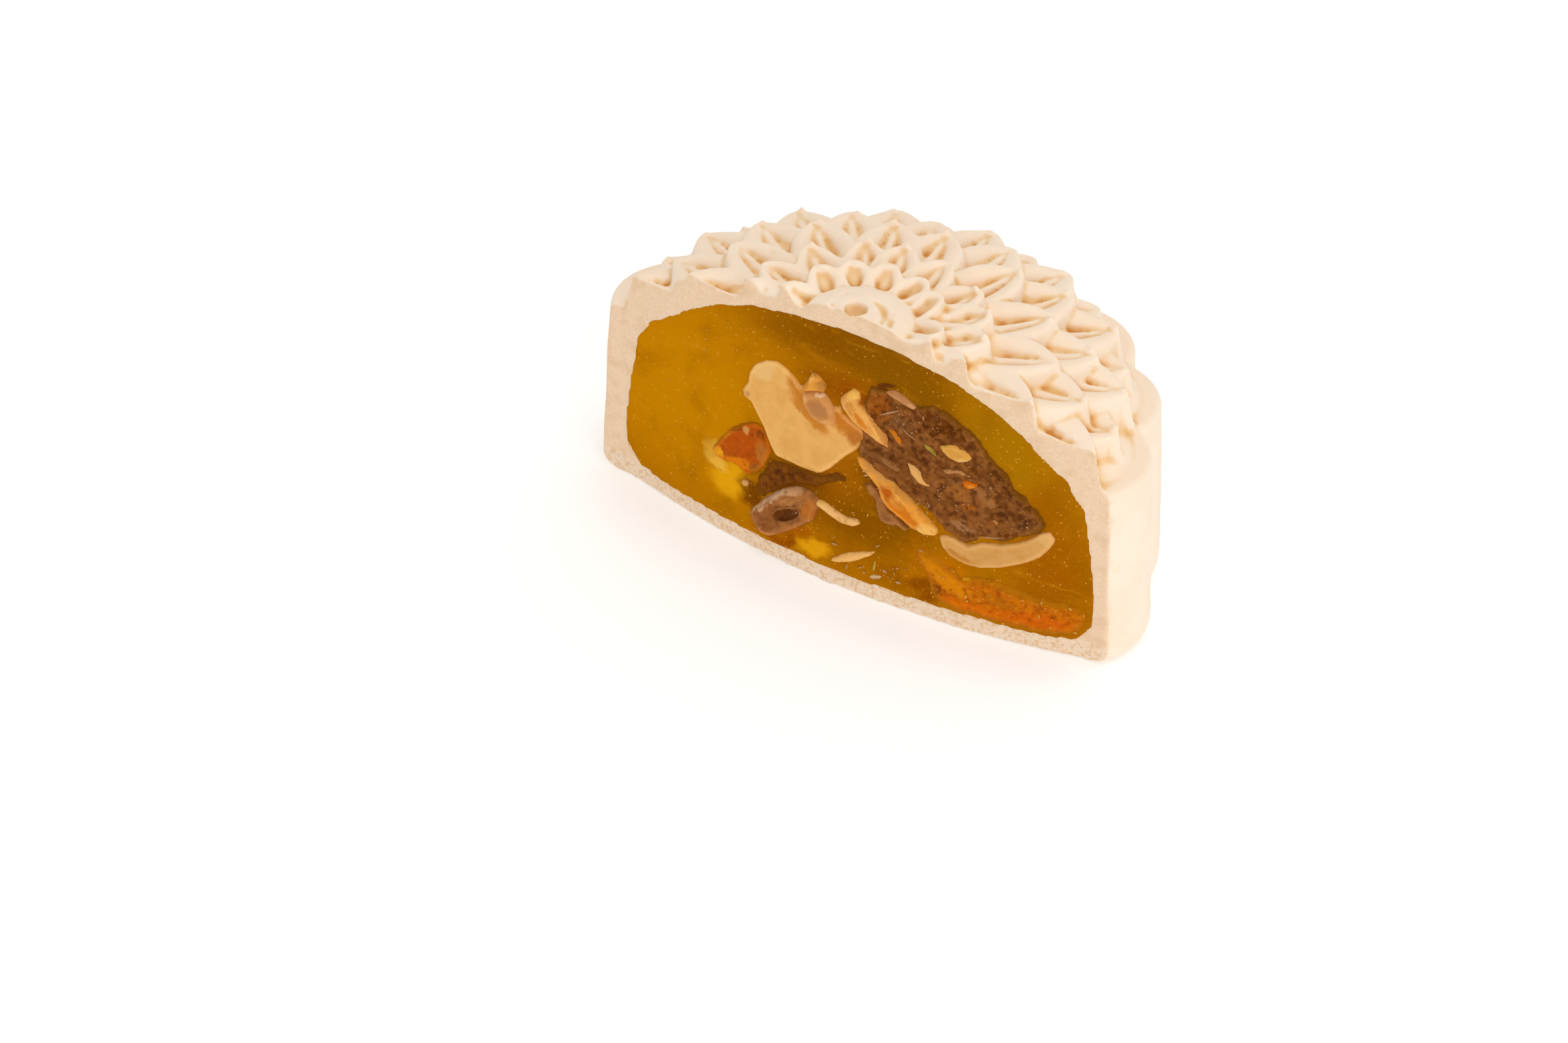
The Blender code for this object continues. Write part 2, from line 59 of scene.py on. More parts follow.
# Heights
FOOT_ROUND = 2.4 * MM
LEDGE_HEIGHT = 28.6 * MM
LEDGE_ROUND = 1.1 * MM
LEDGE_INNER_RADIUS = 36.2 * MM
DOME = [(34.0, 29.9), (30.0, 31.8), (26.0, 33.9), (22.0, 36.3), (17.0, 38.9), (12.0, 40.2), (6.0, 40.7),
        (0.0, 40.9)]

# Rings of petals, outermost first: angles of the tips in degrees, radius and height of the tips, length,
# half width, height of the root, height of the foot, height of the rib over the root, share of the hollow
RINGS = {
    "outer_low": ([i * 22.5 - 11.25 for i in range(10)], 35.8, 33.2, 11.5, 5.4, 32.8, 27.6, 0.2, 0.34),
    "outer_high": ([i * 22.5 for i in range(9)], 35.6, 34.5, 12.5, 5.6, 35.2, 27.6, 0.2, 0.34),
    "wide": ([-11.3, 11.4, 30.5, 55.3, 78.5, 100.5, 122.3, 147.0, 172.5, 193.0],
             31.4, 36.8, 12.0, 5.3, 36.6, 29.6, 0.2, 0.38),
    "middle": ([-1.0, 20.0, 41.0, 66.0, 93.0, 109.5, 134.0, 160.5, 182.0],
               26.5, 39.0, 11.5, 4.8, 38.0, 32.0, 0.2, 0.42),
    "inner": ([-7.0, 16.3, 34.0, 52.0, 77.0, 99.5, 118.0, 144.0, 167.5, 186.0],
              17.6, 42.0, 9.5, 3.6, 39.4, 34.5, -0.1, 0.5),
    "heart": ([-8.0, 13.5, 49.5, 71.0, 99.0, 124.0, 149.6, 181.0],
              11.8, 43.0, 6.5, 2.9, 39.6, 36.5, -0.55, 0.5),
}
PETAL_COLUMNS = 10
PETAL_ROWS = 15
WIDEST = 0.35
ROOT_WIDTH = 0.85
CLOSING = 2.5
TIP_WIDTH = 1.5 * MM
TIP_ROUND = 0.9 * MM
SHOULDER = 1.0 * MM
LIP_RISE = 1.3 * MM
LIP_SLOPE = 0.25
HOLLOW_END = 0.86
HOLLOW_CLOSING = 2.0
FURROW_PLACE = 0.72
FURROW_DEPTH = 1.9 * MM
NUB_SHARE = 0.7
NUB_SIZE = 0.62 * MM
NUB_INSET = (0.6 * MM, 1.2 * MM)
HEART_NUB_DROP = 0.6 * MM

# Button in the middle of the flower
BUTTON_RADIUS = 7.7 * MM
BUTTON_TOP = 42.8 * MM
BUTTON_RIM = 40.4 * MM
BUTTON_FULLNESS = 2.6
# radius and angle at the start, the same at the end, and thickness
SLITS = [(3.6, -14, 3.2, 92, 0.42), (4.9, -8, 3.8, 32, 0.36),
         (2.8, 206, 4.3, 172, 0.30), (4.4, 165, 4.9, 110, 0.20)]
SLIT_SINK = 0.1 * MM
# x, y and radius
DIMPLE = (-0.7, 0.5, 1.5)
DIMPLE_SINK = 0.3 * MM

# Jelly: a turned form, radius and height
JELLY = [(0.0, 39.2), (5.0, 39.1), (10.0, 38.6), (15.0, 37.6), (20.0, 35.6), (24.0, 33.2), (28.0, 30.6),
         (31.6, 27.6), (33.8, 24.2), (35.0, 17.0), (36.2, 8.0), (35.9, 5.2), (34.0, 3.6), (30.0, 3.1),
         (0.0, 2.8)]

# The cut bulges towards the front, most at the foot
TOP_BULGE = 1.0 * MM
FOOT_BULGE = 5.0 * MM
BULGE_HEIGHT = 43.0 * MM
BULGE_REACH = 36.0 * MM
JELLY_SET_BACK = 0.04 * MM
KNIFE_WIDTH = 96 * MM
KNIFE_DEPTH = 60 * MM
KNIFE_SKIRT = 10 * MM

# How far the hole in the skin and the jelly are grown past the jelly's outline; the skin covers the seam
HOLLOW_GROWTH = 0.3 * MM
JELLY_GROWTH = 0.75 * MM
# Reach of the jelly that soaks the crumb, and the depth at which the painted shade in a crease is at its
# darkest
SOAKED_REACH = 1.3 * MM
SKIN_SHADE_DEPTH = 0.28 * MM
PIECE_SHADE_DEPTH = 0.10 * MM
RIM_REACH = 2 * MM
SKIN_SOFTENINGS = 6

SKIN_VOXEL = 0.25 * MM
SKIN_TRIANGLES = 190000
JELLY_VOXEL = 0.42 * MM
FILLING_VOXEL = 0.22 * MM
EDGE_SINK = 0.12 * MM
GRAIN_FLATNESS = 0.55

# x, height, half width, half height, depth in mm, and tilt in degrees
MUSHROOM_HOLLOW = (-7.7, 8.7, 2.5, 0.85, 0.8, 33)

# The photograph's camera, fitted to the cake's ledge, ends and petal tips.
# Its target and distance are in units of the groove radius, round the axis.
CAMERA_AZIMUTH = math.radians(31.8034)
CAMERA_ELEVATION = math.radians(39.51)
CAMERA_ROLL = math.radians(0.561)
CAMERA_TARGET = Vector((-0.9909, 1.1276, -0.9644))
CAMERA_DISTANCE = 15.99
CAMERA_DROP = 2.1 * MM
PHOTO_WIDTH = 2357
FOCAL_PIXELS = 5901.44
SENSOR_WIDTH = 36

LIGHT_TARGET = (0, 0, 0.015)


def tone(red, green, blue):
    """A colour as it is seen, 0 to 255, to the linear values that a shader takes."""
    def linear(value):
        value /= 255
        return value / 12.92 if value <= 0.04045 else ((value + 0.055) / 1.055) ** 2.4
    return (linear(red), linear(green), linear(blue), 1.0)


# Selecting and shaping

def pick(*obs):
    """Object mode, with only these objects selected and the first one active."""
    if bpy.context.object and bpy.context.object.mode != "OBJECT":
        bpy.ops.object.mode_set(mode="OBJECT")
    bpy.ops.object.select_all(action="DESELECT")
    for ob in obs:
        ob.select_set(True)
    if obs:
        bpy.context.view_layer.objects.active = obs[0]
    return obs[0] if obs else None


def new_from_primitive(name):
    ob = bpy.context.object
    ob.name = name
    ob.data.name = name
    return ob


def edit(ob):
    pick(ob)
    bpy.ops.object.mode_set(mode="EDIT")
    bpy.ops.mesh.select_mode(type="VERT")
    return bmesh.from_edit_mesh(ob.data)


def done():
    bpy.ops.object.mode_set(mode="OBJECT")


def select_points(ob, wanted):
    bpy.ops.mesh.select_all(action="DESELECT")
    bm = bmesh.from_edit_mesh(ob.data)
    for v in bm.verts:
        if wanted(v.co):
            v.select_set(True)
    bm.select_flush(True)
    bmesh.update_edit_mesh(ob.data)


def move_each_point(ob, target):
    """Moves every point of the open mesh to its own place, one at a time."""
    places = [target(v.co.copy(), v.index) for v in bmesh.from_edit_mesh(ob.data).verts]
    for index, place in enumerate(places):
        bpy.ops.mesh.select_all(action="DESELECT")
        bm = bmesh.from_edit_mesh(ob.data)
        bm.verts.ensure_lookup_table()
        v = bm.verts[index]
        v.select_set(True)
        bm.select_flush(True)
        bpy.ops.transform.translate(value=Vector(place) - v.co)


def apply_modifier(ob, kind, **settings):
    pick(ob)
    mod = ob.modifiers.new(kind.lower(), kind)
    for key, value in settings.items():
        setattr(mod, key, value)
    bpy.ops.object.modifier_apply(modifier=mod.name)


def cut_away(ob, cutter):
    apply_modifier(ob, "BOOLEAN", object=cutter, operation="DIFFERENCE", solver="MANIFOLD")


def discard(*obs):
    for ob in obs:
        bpy.data.objects.remove(ob)


def face_outwards(ob):
    edit(ob)
    bpy.ops.mesh.select_all(action="SELECT")
    bpy.ops.mesh.remove_doubles(threshold=0.00001)
    bpy.ops.mesh.normals_make_consistent(inside=False)
    done()


def remesh(ob, voxel):
    apply_modifier(ob, "REMESH", mode="VOXEL", voxel_size=voxel, adaptivity=0.0, use_smooth_shade=True)


def soften(ob, times):
    apply_modifier(ob, "SMOOTH", factor=0.5, iterations=times)


def ruffle(ob, size, strength, middle=0.5):
    """Uneven relief. size is the width of its bumps, and middle the share of them that sinks in."""
    texture = bpy.data.textures.new(ob.name + "_relief", "CLOUDS")
    texture.noise_depth = 2
    texture.noise_scale = size
    apply_modifier(ob, "DISPLACE", texture=texture, texture_coords="LOCAL", strength=strength,
                   mid_level=middle)


def thin_out(ob, triangles):
    ob.data.calc_loop_triangles()
    count = len(ob.data.loop_triangles)
    if count > triangles:
        apply_modifier(ob, "DECIMATE", ratio=triangles / count)


def keep_largest_body(ob):
    edit(ob)
    bpy.ops.mesh.select_all(action="DESELECT")
    bm = bmesh.from_edit_mesh(ob.data)
    left = set(bm.verts)
    bodies = []
    while left:
        stack = [left.pop()]
        body = list(stack)
        while stack:
            for e in stack.pop().link_edges:
                for v in e.verts:
                    if v in left:
                        left.discard(v)
                        body.append(v)
                        stack.append(v)
        bodies.append(body)
    bodies.sort(key=len)
    for body in bodies[:-1]:
        for v in body:
            v.select_set(True)
    bm.select_flush(True)
    bmesh.update_edit_mesh(ob.data)
    if len(bodies) > 1:
        bpy.ops.mesh.delete(type="VERT")
    done()


def smooth_shading(ob):
    pick(ob)
    bpy.ops.object.shade_smooth()


def drawn_up(name, profile, steps):
    """Rings drawn up or down from a circle, closed at both ends.
    profile is radius and height, outside first."""
    pick()
    (radius, height), rest = profile[0], profile[1:]
    radius = max(radius, 0.02 * MM)
    bpy.ops.mesh.primitive_circle_add(vertices=steps, radius=radius, fill_type="NGON", location=(0, 0, 0))
    ob = new_from_primitive(name)
    edit(ob)
    bpy.ops.mesh.select_all(action="SELECT")
    bpy.ops.transform.translate(value=(0, 0, height))
    for r, z in rest:
        bpy.ops.mesh.extrude_region_move(TRANSFORM_OT_translate={"value": (0, 0, z - height)})
        share = max(r, 0.02 * MM) / radius
        bpy.ops.transform.resize(value=(share, share, 1), center_override=(0, 0, z))
        radius, height = max(r, 0.02 * MM), z
    done()
    face_outwards(ob)
    return ob


# The skin

def lobe_radius(angle):
    half = PITCH / 2
    chord = GROOVE_RADIUS * math.sin(half)
    rise = LOBE_RADIUS - GROOVE_RADIUS * math.cos(half)
    arc = (chord ** 2 + rise ** 2) / (2 * rise)
    centre = LOBE_RADIUS - arc
    turn = (angle % PITCH) - half
    r = centre * math.cos(turn) + math.sqrt(arc ** 2 - (centre * math.sin(turn)) ** 2)
    return r + LEFT_SWELL * max(0.0, -math.cos(angle)) ** 8


def cake_body():
    """A lobed ring drawn up from the foot to the ledge, then in and up to the dome."""
    pick()
    bpy.ops.mesh.primitive_circle_add(vertices=LOBES * LOBE_STEPS, radius=MEAN_RADIUS, fill_type="NGON")
    body = new_from_primitive("cake_body")
    edit(body)

    def on_lobes(co, index):
        angle = math.atan2(co.y, co.x)
        r = lobe_radius(angle)
        return (r * math.cos(angle), r * math.sin(angle), 0.0)
    move_each_point(body, on_lobes)
    bpy.ops.mesh.select_all(action="SELECT")

    levels = []
    for i in range(6):
        turn = math.pi / 2 * i / 5
        levels.append((FOOT_ROUND * (1 - math.sin(turn)), FOOT_ROUND * (1 - math.cos(turn))))
    for height in (5.0, 9.0, 13.0, 17.0, 21.0, 24.5):
        levels.append((0.0, height * MM))
    for i in range(5):
        turn = math.pi / 2 * i / 4
        levels.append((LEDGE_ROUND * (1 - math.cos(turn)),
                       LEDGE_HEIGHT - LEDGE_ROUND * (1 - math.sin(turn))))
    size, lean, at = MEAN_RADIUS, 0.0, 0.0
    for i, (inset, height) in enumerate(levels):
        spread = SAG * max(0.0, 1 - height / LEDGE_HEIGHT)
        wide, off = MEAN_RADIUS - inset + spread, -SAG_LEAN * spread
        if i:
            bpy.ops.mesh.extrude_region_move(TRANSFORM_OT_translate={"value": (0, 0, height - at)})
        bpy.ops.transform.resize(value=(wide / size, wide / size, 1), center_override=(lean, 0, height))
        bpy.ops.transform.translate(value=(off - lean, 0, 0))
        size, lean, at = wide, off, height
    for radius, height in [(LEDGE_INNER_RADIUS / MM, LEDGE_HEIGHT / MM)] + DOME:
        bpy.ops.mesh.extrude_region_move(TRANSFORM_OT_translate={"value": (0, 0, height * MM - at)})
        wide = max(radius, 0.05) * MM
        bpy.ops.transform.resize(value=(wide / size, wide / size, 1), center_override=(0, 0, height * MM))
        size, at = wide, height * MM
    bpy.ops.mesh.select_all(action="SELECT")
    bpy.ops.mesh.bisect(plane_co=(0, -9 * MM, 0), plane_no=(0, 1, 0), clear_inner=True, use_fill=True)
    done()
    face_outwards(body)
    return body


def petal_width(share, half_width):
    if share < WIDEST:
        return half_width * (ROOT_WIDTH + (1 - ROOT_WIDTH) * math.sin(math.pi / 2 * share / WIDEST))
    closing = (share - WIDEST) / (1 - WIDEST)
    return TIP_WIDTH + (half_width - TIP_WIDTH) * (1 - closing ** CLOSING)


def petal_section(share, half_width, rib, wide):
    """Half a cross-section from the edge to the middle: a plump lip, a steep furrow and half a rib."""
    edge = petal_width(share, half_width)
    shoulder = min(SHOULDER, edge * 0.3)
    closing = max(0.0, 1 - (share / HOLLOW_END) ** HOLLOW_CLOSING)
    hollow = max(0.04 * half_width, min(half_width * wide * closing ** 0.6, edge * 0.72))
    lip = LIP_RISE * (1 - share ** 3) * min(1.0, half_width / (4 * MM) + 0.2)
    depth = FURROW_DEPTH * min(1.0, half_width / (4 * MM)) * closing
    middle = rib * closing
    furrow, span = hollow * FURROW_PLACE, edge - hollow
    return [(edge, lip - 1.4 * shoulder), (edge - 0.10 * span, lip - 0.45 * shoulder),
            (edge - 0.35 * span, lip + 0.05 * MM * closing), (edge - 0.68 * span, lip * 0.86),
            (hollow + 0.10 * span, lip * (LIP_SLOPE + 0.25)), (hollow, lip * LIP_SLOPE * closing),
            ((hollow + furrow) / 2, -depth * 0.6), (furrow, -depth), (furrow * 0.62, -depth * 0.75),
            (furrow * 0.4, middle), (0.0, middle - depth * 0.1)]


def petal(name, tip_radius, tip, length, half_width, root, foot, rib, wide):
    """Half a petal's upper side from a grid, mirrored, then drawn down to a flaring foot."""
    pick()
    bpy.ops.mesh.primitive_grid_add(x_subdivisions=PETAL_ROWS, y_subdivisions=PETAL_COLUMNS, size=1.0)
    ob = new_from_primitive(name)
    edit(ob)

    def on_petal(co, index):
        share = round((co.x + 0.5) * PETAL_ROWS) / PETAL_ROWS
        share = 1 - (1 - share) ** 1.25
        column = PETAL_COLUMNS - round((co.y + 0.5) * PETAL_COLUMNS)
        offset, rise = petal_section(share, half_width, rib, wide)[column]
        across = offset / petal_width(share, half_width)
        along = tip_radius - length * (1 - share) - TIP_ROUND * across ** 2 * share ** 4
        return (along, offset, root + (tip - root) * share + rise)
    move_each_point(ob, on_petal)
    done()
    apply_modifier(ob, "MIRROR", use_axis=(False, True, False), merge_threshold=0.00002)
    edit(ob)
    bpy.ops.mesh.select_all(action="SELECT")
    middle = tip_radius - length * 0.6
    drop = tip - foot
    for share, wider in ((0.2, 1.02), (0.45, 1.07), (0.35, 1.09)):
        bpy.ops.mesh.extrude_region_move(TRANSFORM_OT_translate={"value": (0, 0, -drop * share)})
        bpy.ops.transform.resize(value=(wider, wider, 1), center_override=(middle, 0, 0))
    bpy.ops.transform.resize(value=(1, 1, 0), center_override=(0, 0, foot))
    done()
    face_outwards(ob)
    apply_modifier(ob, "SUBSURF", levels=2)
    return ob


def nub(place, size):
    """A little pip that the mould leaves."""
    pick()
    bpy.ops.mesh.primitive_ico_sphere_add(subdivisions=2, radius=size, location=place)
    ob = new_from_primitive("nub")
    bpy.ops.object.transform_apply(location=True)
    return ob


def flower():
    """Every petal of the half cake: one of each ring is modelled and the rest are turned copies."""
    dice = random.Random(SEED)
    pieces = []
    for ring, (angles, *sizes) in RINGS.items():
        sizes = [size * MM for size in sizes[:-1]] + sizes[-1:]
        first = petal(ring, *sizes)
        for i, angle in enumerate(angles):
            pick(first)
            bpy.ops.object.duplicate(linked=False)
            copy = bpy.context.object
            copy.name = f"{ring}_{i}"
            copy.scale = (1, dice.uniform(0.97, 1.03), dice.uniform(0.998, 1.0))
            copy.rotation_euler = (0, 0, math.radians(angle + dice.uniform(-0.5, 0.5)))
            bpy.ops.object.transform_apply(location=False, rotation=True, scale=True)
            pieces.append(copy)
            if dice.random() < NUB_SHARE:
                turn = math.radians(angle + dice.uniform(-1.5, 1.5))
                reach = sizes[0] - dice.uniform(*NUB_INSET)
                drop = HEART_NUB_DROP if ring == "heart" else 0.0
                high = sizes[1] + dice.uniform(0.0, 0.25) * MM - drop
                pieces.append(nub((reach * math.cos(turn), reach * math.sin(turn), high),
                                  NUB_SIZE * dice.uniform(0.8, 1.1)))
        discard(first)
    return pieces


def button_height(radius):
    fall = min(1.0, radius / BUTTON_RADIUS) ** BUTTON_FULLNESS
    return BUTTON_RIM + (BUTTON_TOP - BUTTON_RIM) * (1 - fall) ** (1 / BUTTON_FULLNESS)


def button():
    shares = [1.0, 0.99, 0.96, 0.9, 0.8, 0.65, 0.45, 0.25]
    profile = [(BUTTON_RADIUS, BUTTON_RIM - 2 * MM)]
    profile += [(BUTTON_RADIUS * s, button_height(BUTTON_RADIUS * s)) for s in shares]
    profile.append((0.0, BUTTON_TOP))
    return drawn_up("button", profile, 48)


def slit(name, near, start, far, end, thick):
    """A curled groove of the button, as a tapering tube that is cut out of it."""
    curve = bpy.data.curves.new(name, "CURVE")
    curve.dimensions = "3D"
    curve.bevel_depth = thick * MM
    curve.bevel_resolution = 3
    curve.use_fill_caps = True
    spline = curve.splines.new("POLY")
    count = 18
    spline.points.add(count - 1)
    for i, point in enumerate(spline.points):
        share = i / (count - 1)
        angle = math.radians(start + (end - start) * share)
        r = (near + (far - near) * share) * MM
        point.co = (r * math.cos(angle), r * math.sin(angle), button_height(r) - SLIT_SINK, 1.0)
        point.radius = 0.35 + 1.1 * math.sin(math.pi * share)
    ob = bpy.data.objects.new(name, curve)
    bpy.context.scene.collection.objects.link(ob)
    pick(ob)
    bpy.ops.object.convert(target="MESH")
    ob = bpy.context.object
    face_outwards(ob)
    return ob


def dimple():
    pick()
    x, y, radius = DIMPLE
    bpy.ops.mesh.primitive_ico_sphere_add(subdivisions=3, radius=radius * MM,
                                          location=(x * MM, y * MM, BUTTON_TOP - DIMPLE_SINK))
    ob = new_from_primitive("dimple")
    bpy.ops.object.transform_apply(location=True)
    ruffle(ob, 1.2 * MM, 0.5 * MM)
    return ob


def bulge(x, z):
    """How far the cut stands in front of the cake's axis."""
    across = max(0.0, 1 - (x / BULGE_REACH) ** 2)
    up = min(1.0, max(0.0, z / BULGE_HEIGHT))
    return (FOOT_BULGE + (TOP_BULGE - FOOT_BULGE) * up) * across


def knife():
    """All that lies in front of the cut, as one block with a bulging, slightly uneven back."""
    pick()
    bpy.ops.mesh.primitive_grid_add(x_subdivisions=44, y_subdivisions=1, size=1.0)
    ob = new_from_primitive("knife")
    edit(ob)

    def on_cut(co, index):
        x, z = co.x * KNIFE_WIDTH, 0.0 if co.y < 0 else BULGE_HEIGHT
        return (x, -bulge(x, z), z)
    move_each_point(ob, on_cut)
    bpy.ops.mesh.select_all(action="SELECT")
    bpy.ops.mesh.subdivide(number_cuts=7, smoothness=0)
    # A skirt above and below, so that the block is taller than the cake
    for top in (False, True):
        select_points(ob, lambda co: co.z > BULGE_HEIGHT - 1e-6 if top else co.z < 1e-6)
        skirt = KNIFE_SKIRT if top else -KNIFE_SKIRT
        bpy.ops.mesh.extrude_region_move(TRANSFORM_OT_translate={"value": (0, 0, skirt)})
    done()
    ruffle(ob, 6 * MM, 0.28 * MM)
    edit(ob)
    bpy.ops.mesh.select_all(action="SELECT")
    bpy.ops.mesh.extrude_region_move(TRANSFORM_OT_translate={"value": (0, -KNIFE_DEPTH, 0)})
    done()
    face_outwards(ob)
    return ob


def jelly_profile(grow):
    """The jelly's outline from its top middle, grown all round."""
    last = len(JELLY) - 1
    return [(max(0.0, r * MM + (grow if 0 < i < last else 0)), z * MM + (grow if z > 5 else -grow))
            for i, (r, z) in enumerate(JELLY)]


def join(obs, name):
    pick(*obs)
    bpy.ops.object.join()
    ob = bpy.context.object
    ob.name = name
    ob.data.name = name
    return ob


def point_values(ob, name, values):
    """Keeps one number for each point, for the finish to read."""
    attribute = ob.data.attributes.new(name, "FLOAT", "POINT")
    attribute.data.foreach_set("value", np.asarray(values, np.float32))


def places(ob):
    co = np.empty(len(ob.data.vertices) * 3)
    ob.data.vertices.foreach_get("co", co)
    return co.reshape(-1, 3)


def normals(ob):
    no = np.empty(len(ob.data.vertices) * 3, np.float32)
    ob.data.vertex_normals.foreach_get("vector", no)
    return no.reshape(-1, 3)


def hollowness(ob, rounds):
    """How far each point lies under the mean of the surface round it, in metres."""
    co, no = places(ob), normals(ob)
    pairs = np.empty(len(ob.data.edges) * 2, np.int64)
    ob.data.edges.foreach_get("vertices", pairs)
    a, b = pairs[0::2], pairs[1::2]
    count = np.bincount(a, minlength=len(co)) + np.bincount(b, minlength=len(co))
    mean = co.copy()
    for _ in range(rounds):
        total = np.stack([np.bincount(a, mean[b, i], len(co)) + np.bincount(b, mean[a, i], len(co))
                          for i in range(3)], 1)
        mean = 0.3 * mean + 0.7 * total / np.maximum(count, 1)[:, None]
    return ((mean - co) * no).sum(1)


def rise_of_jelly(co):
    """How far each point is outside the jelly's turned form, in metres, measured across the cut."""
    r = np.hypot(co[:, 0], co[:, 1])
    z = co[:, 2]
    best = np.full(len(co), 1.0)
    for (r0, z0), (r1, z1) in zip(JELLY, JELLY[1:]):
        p, q = np.array([r0, z0]) * MM, np.array([r1, z1]) * MM
        d = q - p
        t = np.clip(((r - p[0]) * d[0] + (z - p[1]) * d[1]) / (d @ d), 0, 1)
        best = np.minimum(best, np.hypot(r - p[0] - t * d[0], z - p[1] - t * d[1]))
    return best


def round_the_cut(skin):
    """Softens the edge between the cut and the petals, where the knife dragged the dough."""
    co = places(skin)
    front = -np.array([bulge(x, z) for x, _, z in co])
    near = np.clip(1.4 - np.abs(co[:, 1] - front) / (0.9 * MM), 0, 1) * (rise_of_jelly(co) > 1.2 * MM)
    near *= co[:, 2] > 26 * MM
    group = skin.vertex_groups.new(name="cut_edge")
    for level in range(1, 11):
        group.add([int(i) for i in np.flatnonzero(np.ceil(near * 10) == level)], level / 10, "REPLACE")
    apply_modifier(skin, "SMOOTH", factor=0.6, iterations=10, vertex_group="cut_edge")
    skin.vertex_groups.clear()


def make_skin(blade):
    parts = [cake_body()] + flower() + [button()]
    skin = join(parts, "mooncake_skin")
    remesh(skin, SKIN_VOXEL)
    cutters = [dimple()] + [slit(f"slit_{i}", *at) for i, at in enumerate(SLITS)]
    hollow = drawn_up("hollow", jelly_profile(HOLLOW_GROWTH), 240)
    ruffle(hollow, 3.0 * MM, 0.5 * MM, middle=1.0)
    ruffle(hollow, 0.9 * MM, 0.35 * MM, middle=1.0)
    for cutter in cutters + [hollow, blade]:
        cut_away(skin, cutter)
    discard(hollow, *cutters)
    remesh(skin, SKIN_VOXEL)
    keep_largest_body(skin)
    soften(skin, SKIN_SOFTENINGS)
    round_the_cut(skin)
    ruffle(skin, 9 * MM, 0.30 * MM, middle=1.0)
    thin_out(skin, SKIN_TRIANGLES)
    smooth_shading(skin)
    co, no = places(skin), normals(skin)
    front = -np.array([bulge(x, z) for x, _, z in co])
    cut = (np.clip(1.0 - (np.abs(co[:, 1] - front) / MM - 0.25) / 0.25, 0, 1)
           * np.clip(-no[:, 1] * 3 - 0.6, 0, 1))
    point_values(skin, "cut", cut)
    point_values(skin, "soaked", np.clip(1 - rise_of_jelly(co) / SOAKED_REACH, 0, 1) * cut)
    # How deep each point lies in a crease, for the painted shade in the creases
    point_values(skin, "cavity_shading", np.clip(hollowness(skin, 14) / SKIN_SHADE_DEPTH, -1, 1) * (1 - cut))
    # How far each point faces up, for painted shade that tints up-facing dough tan
    point_values(skin, "upward_shade", np.clip(no[:, 2] * 2.2 - 1.1, 0, 1) * (1 - cut))
    return skin


def make_jelly(blade):
    jelly = drawn_up("amber_jelly", jelly_profile(JELLY_GROWTH), 128)
    blade.location.y = JELLY_SET_BACK
    cut_away(jelly, blade)
    blade.location.y = 0.0
    remesh(jelly, JELLY_VOXEL)
    soften(jelly, 2)
    smooth_shading(jelly)
    return jelly


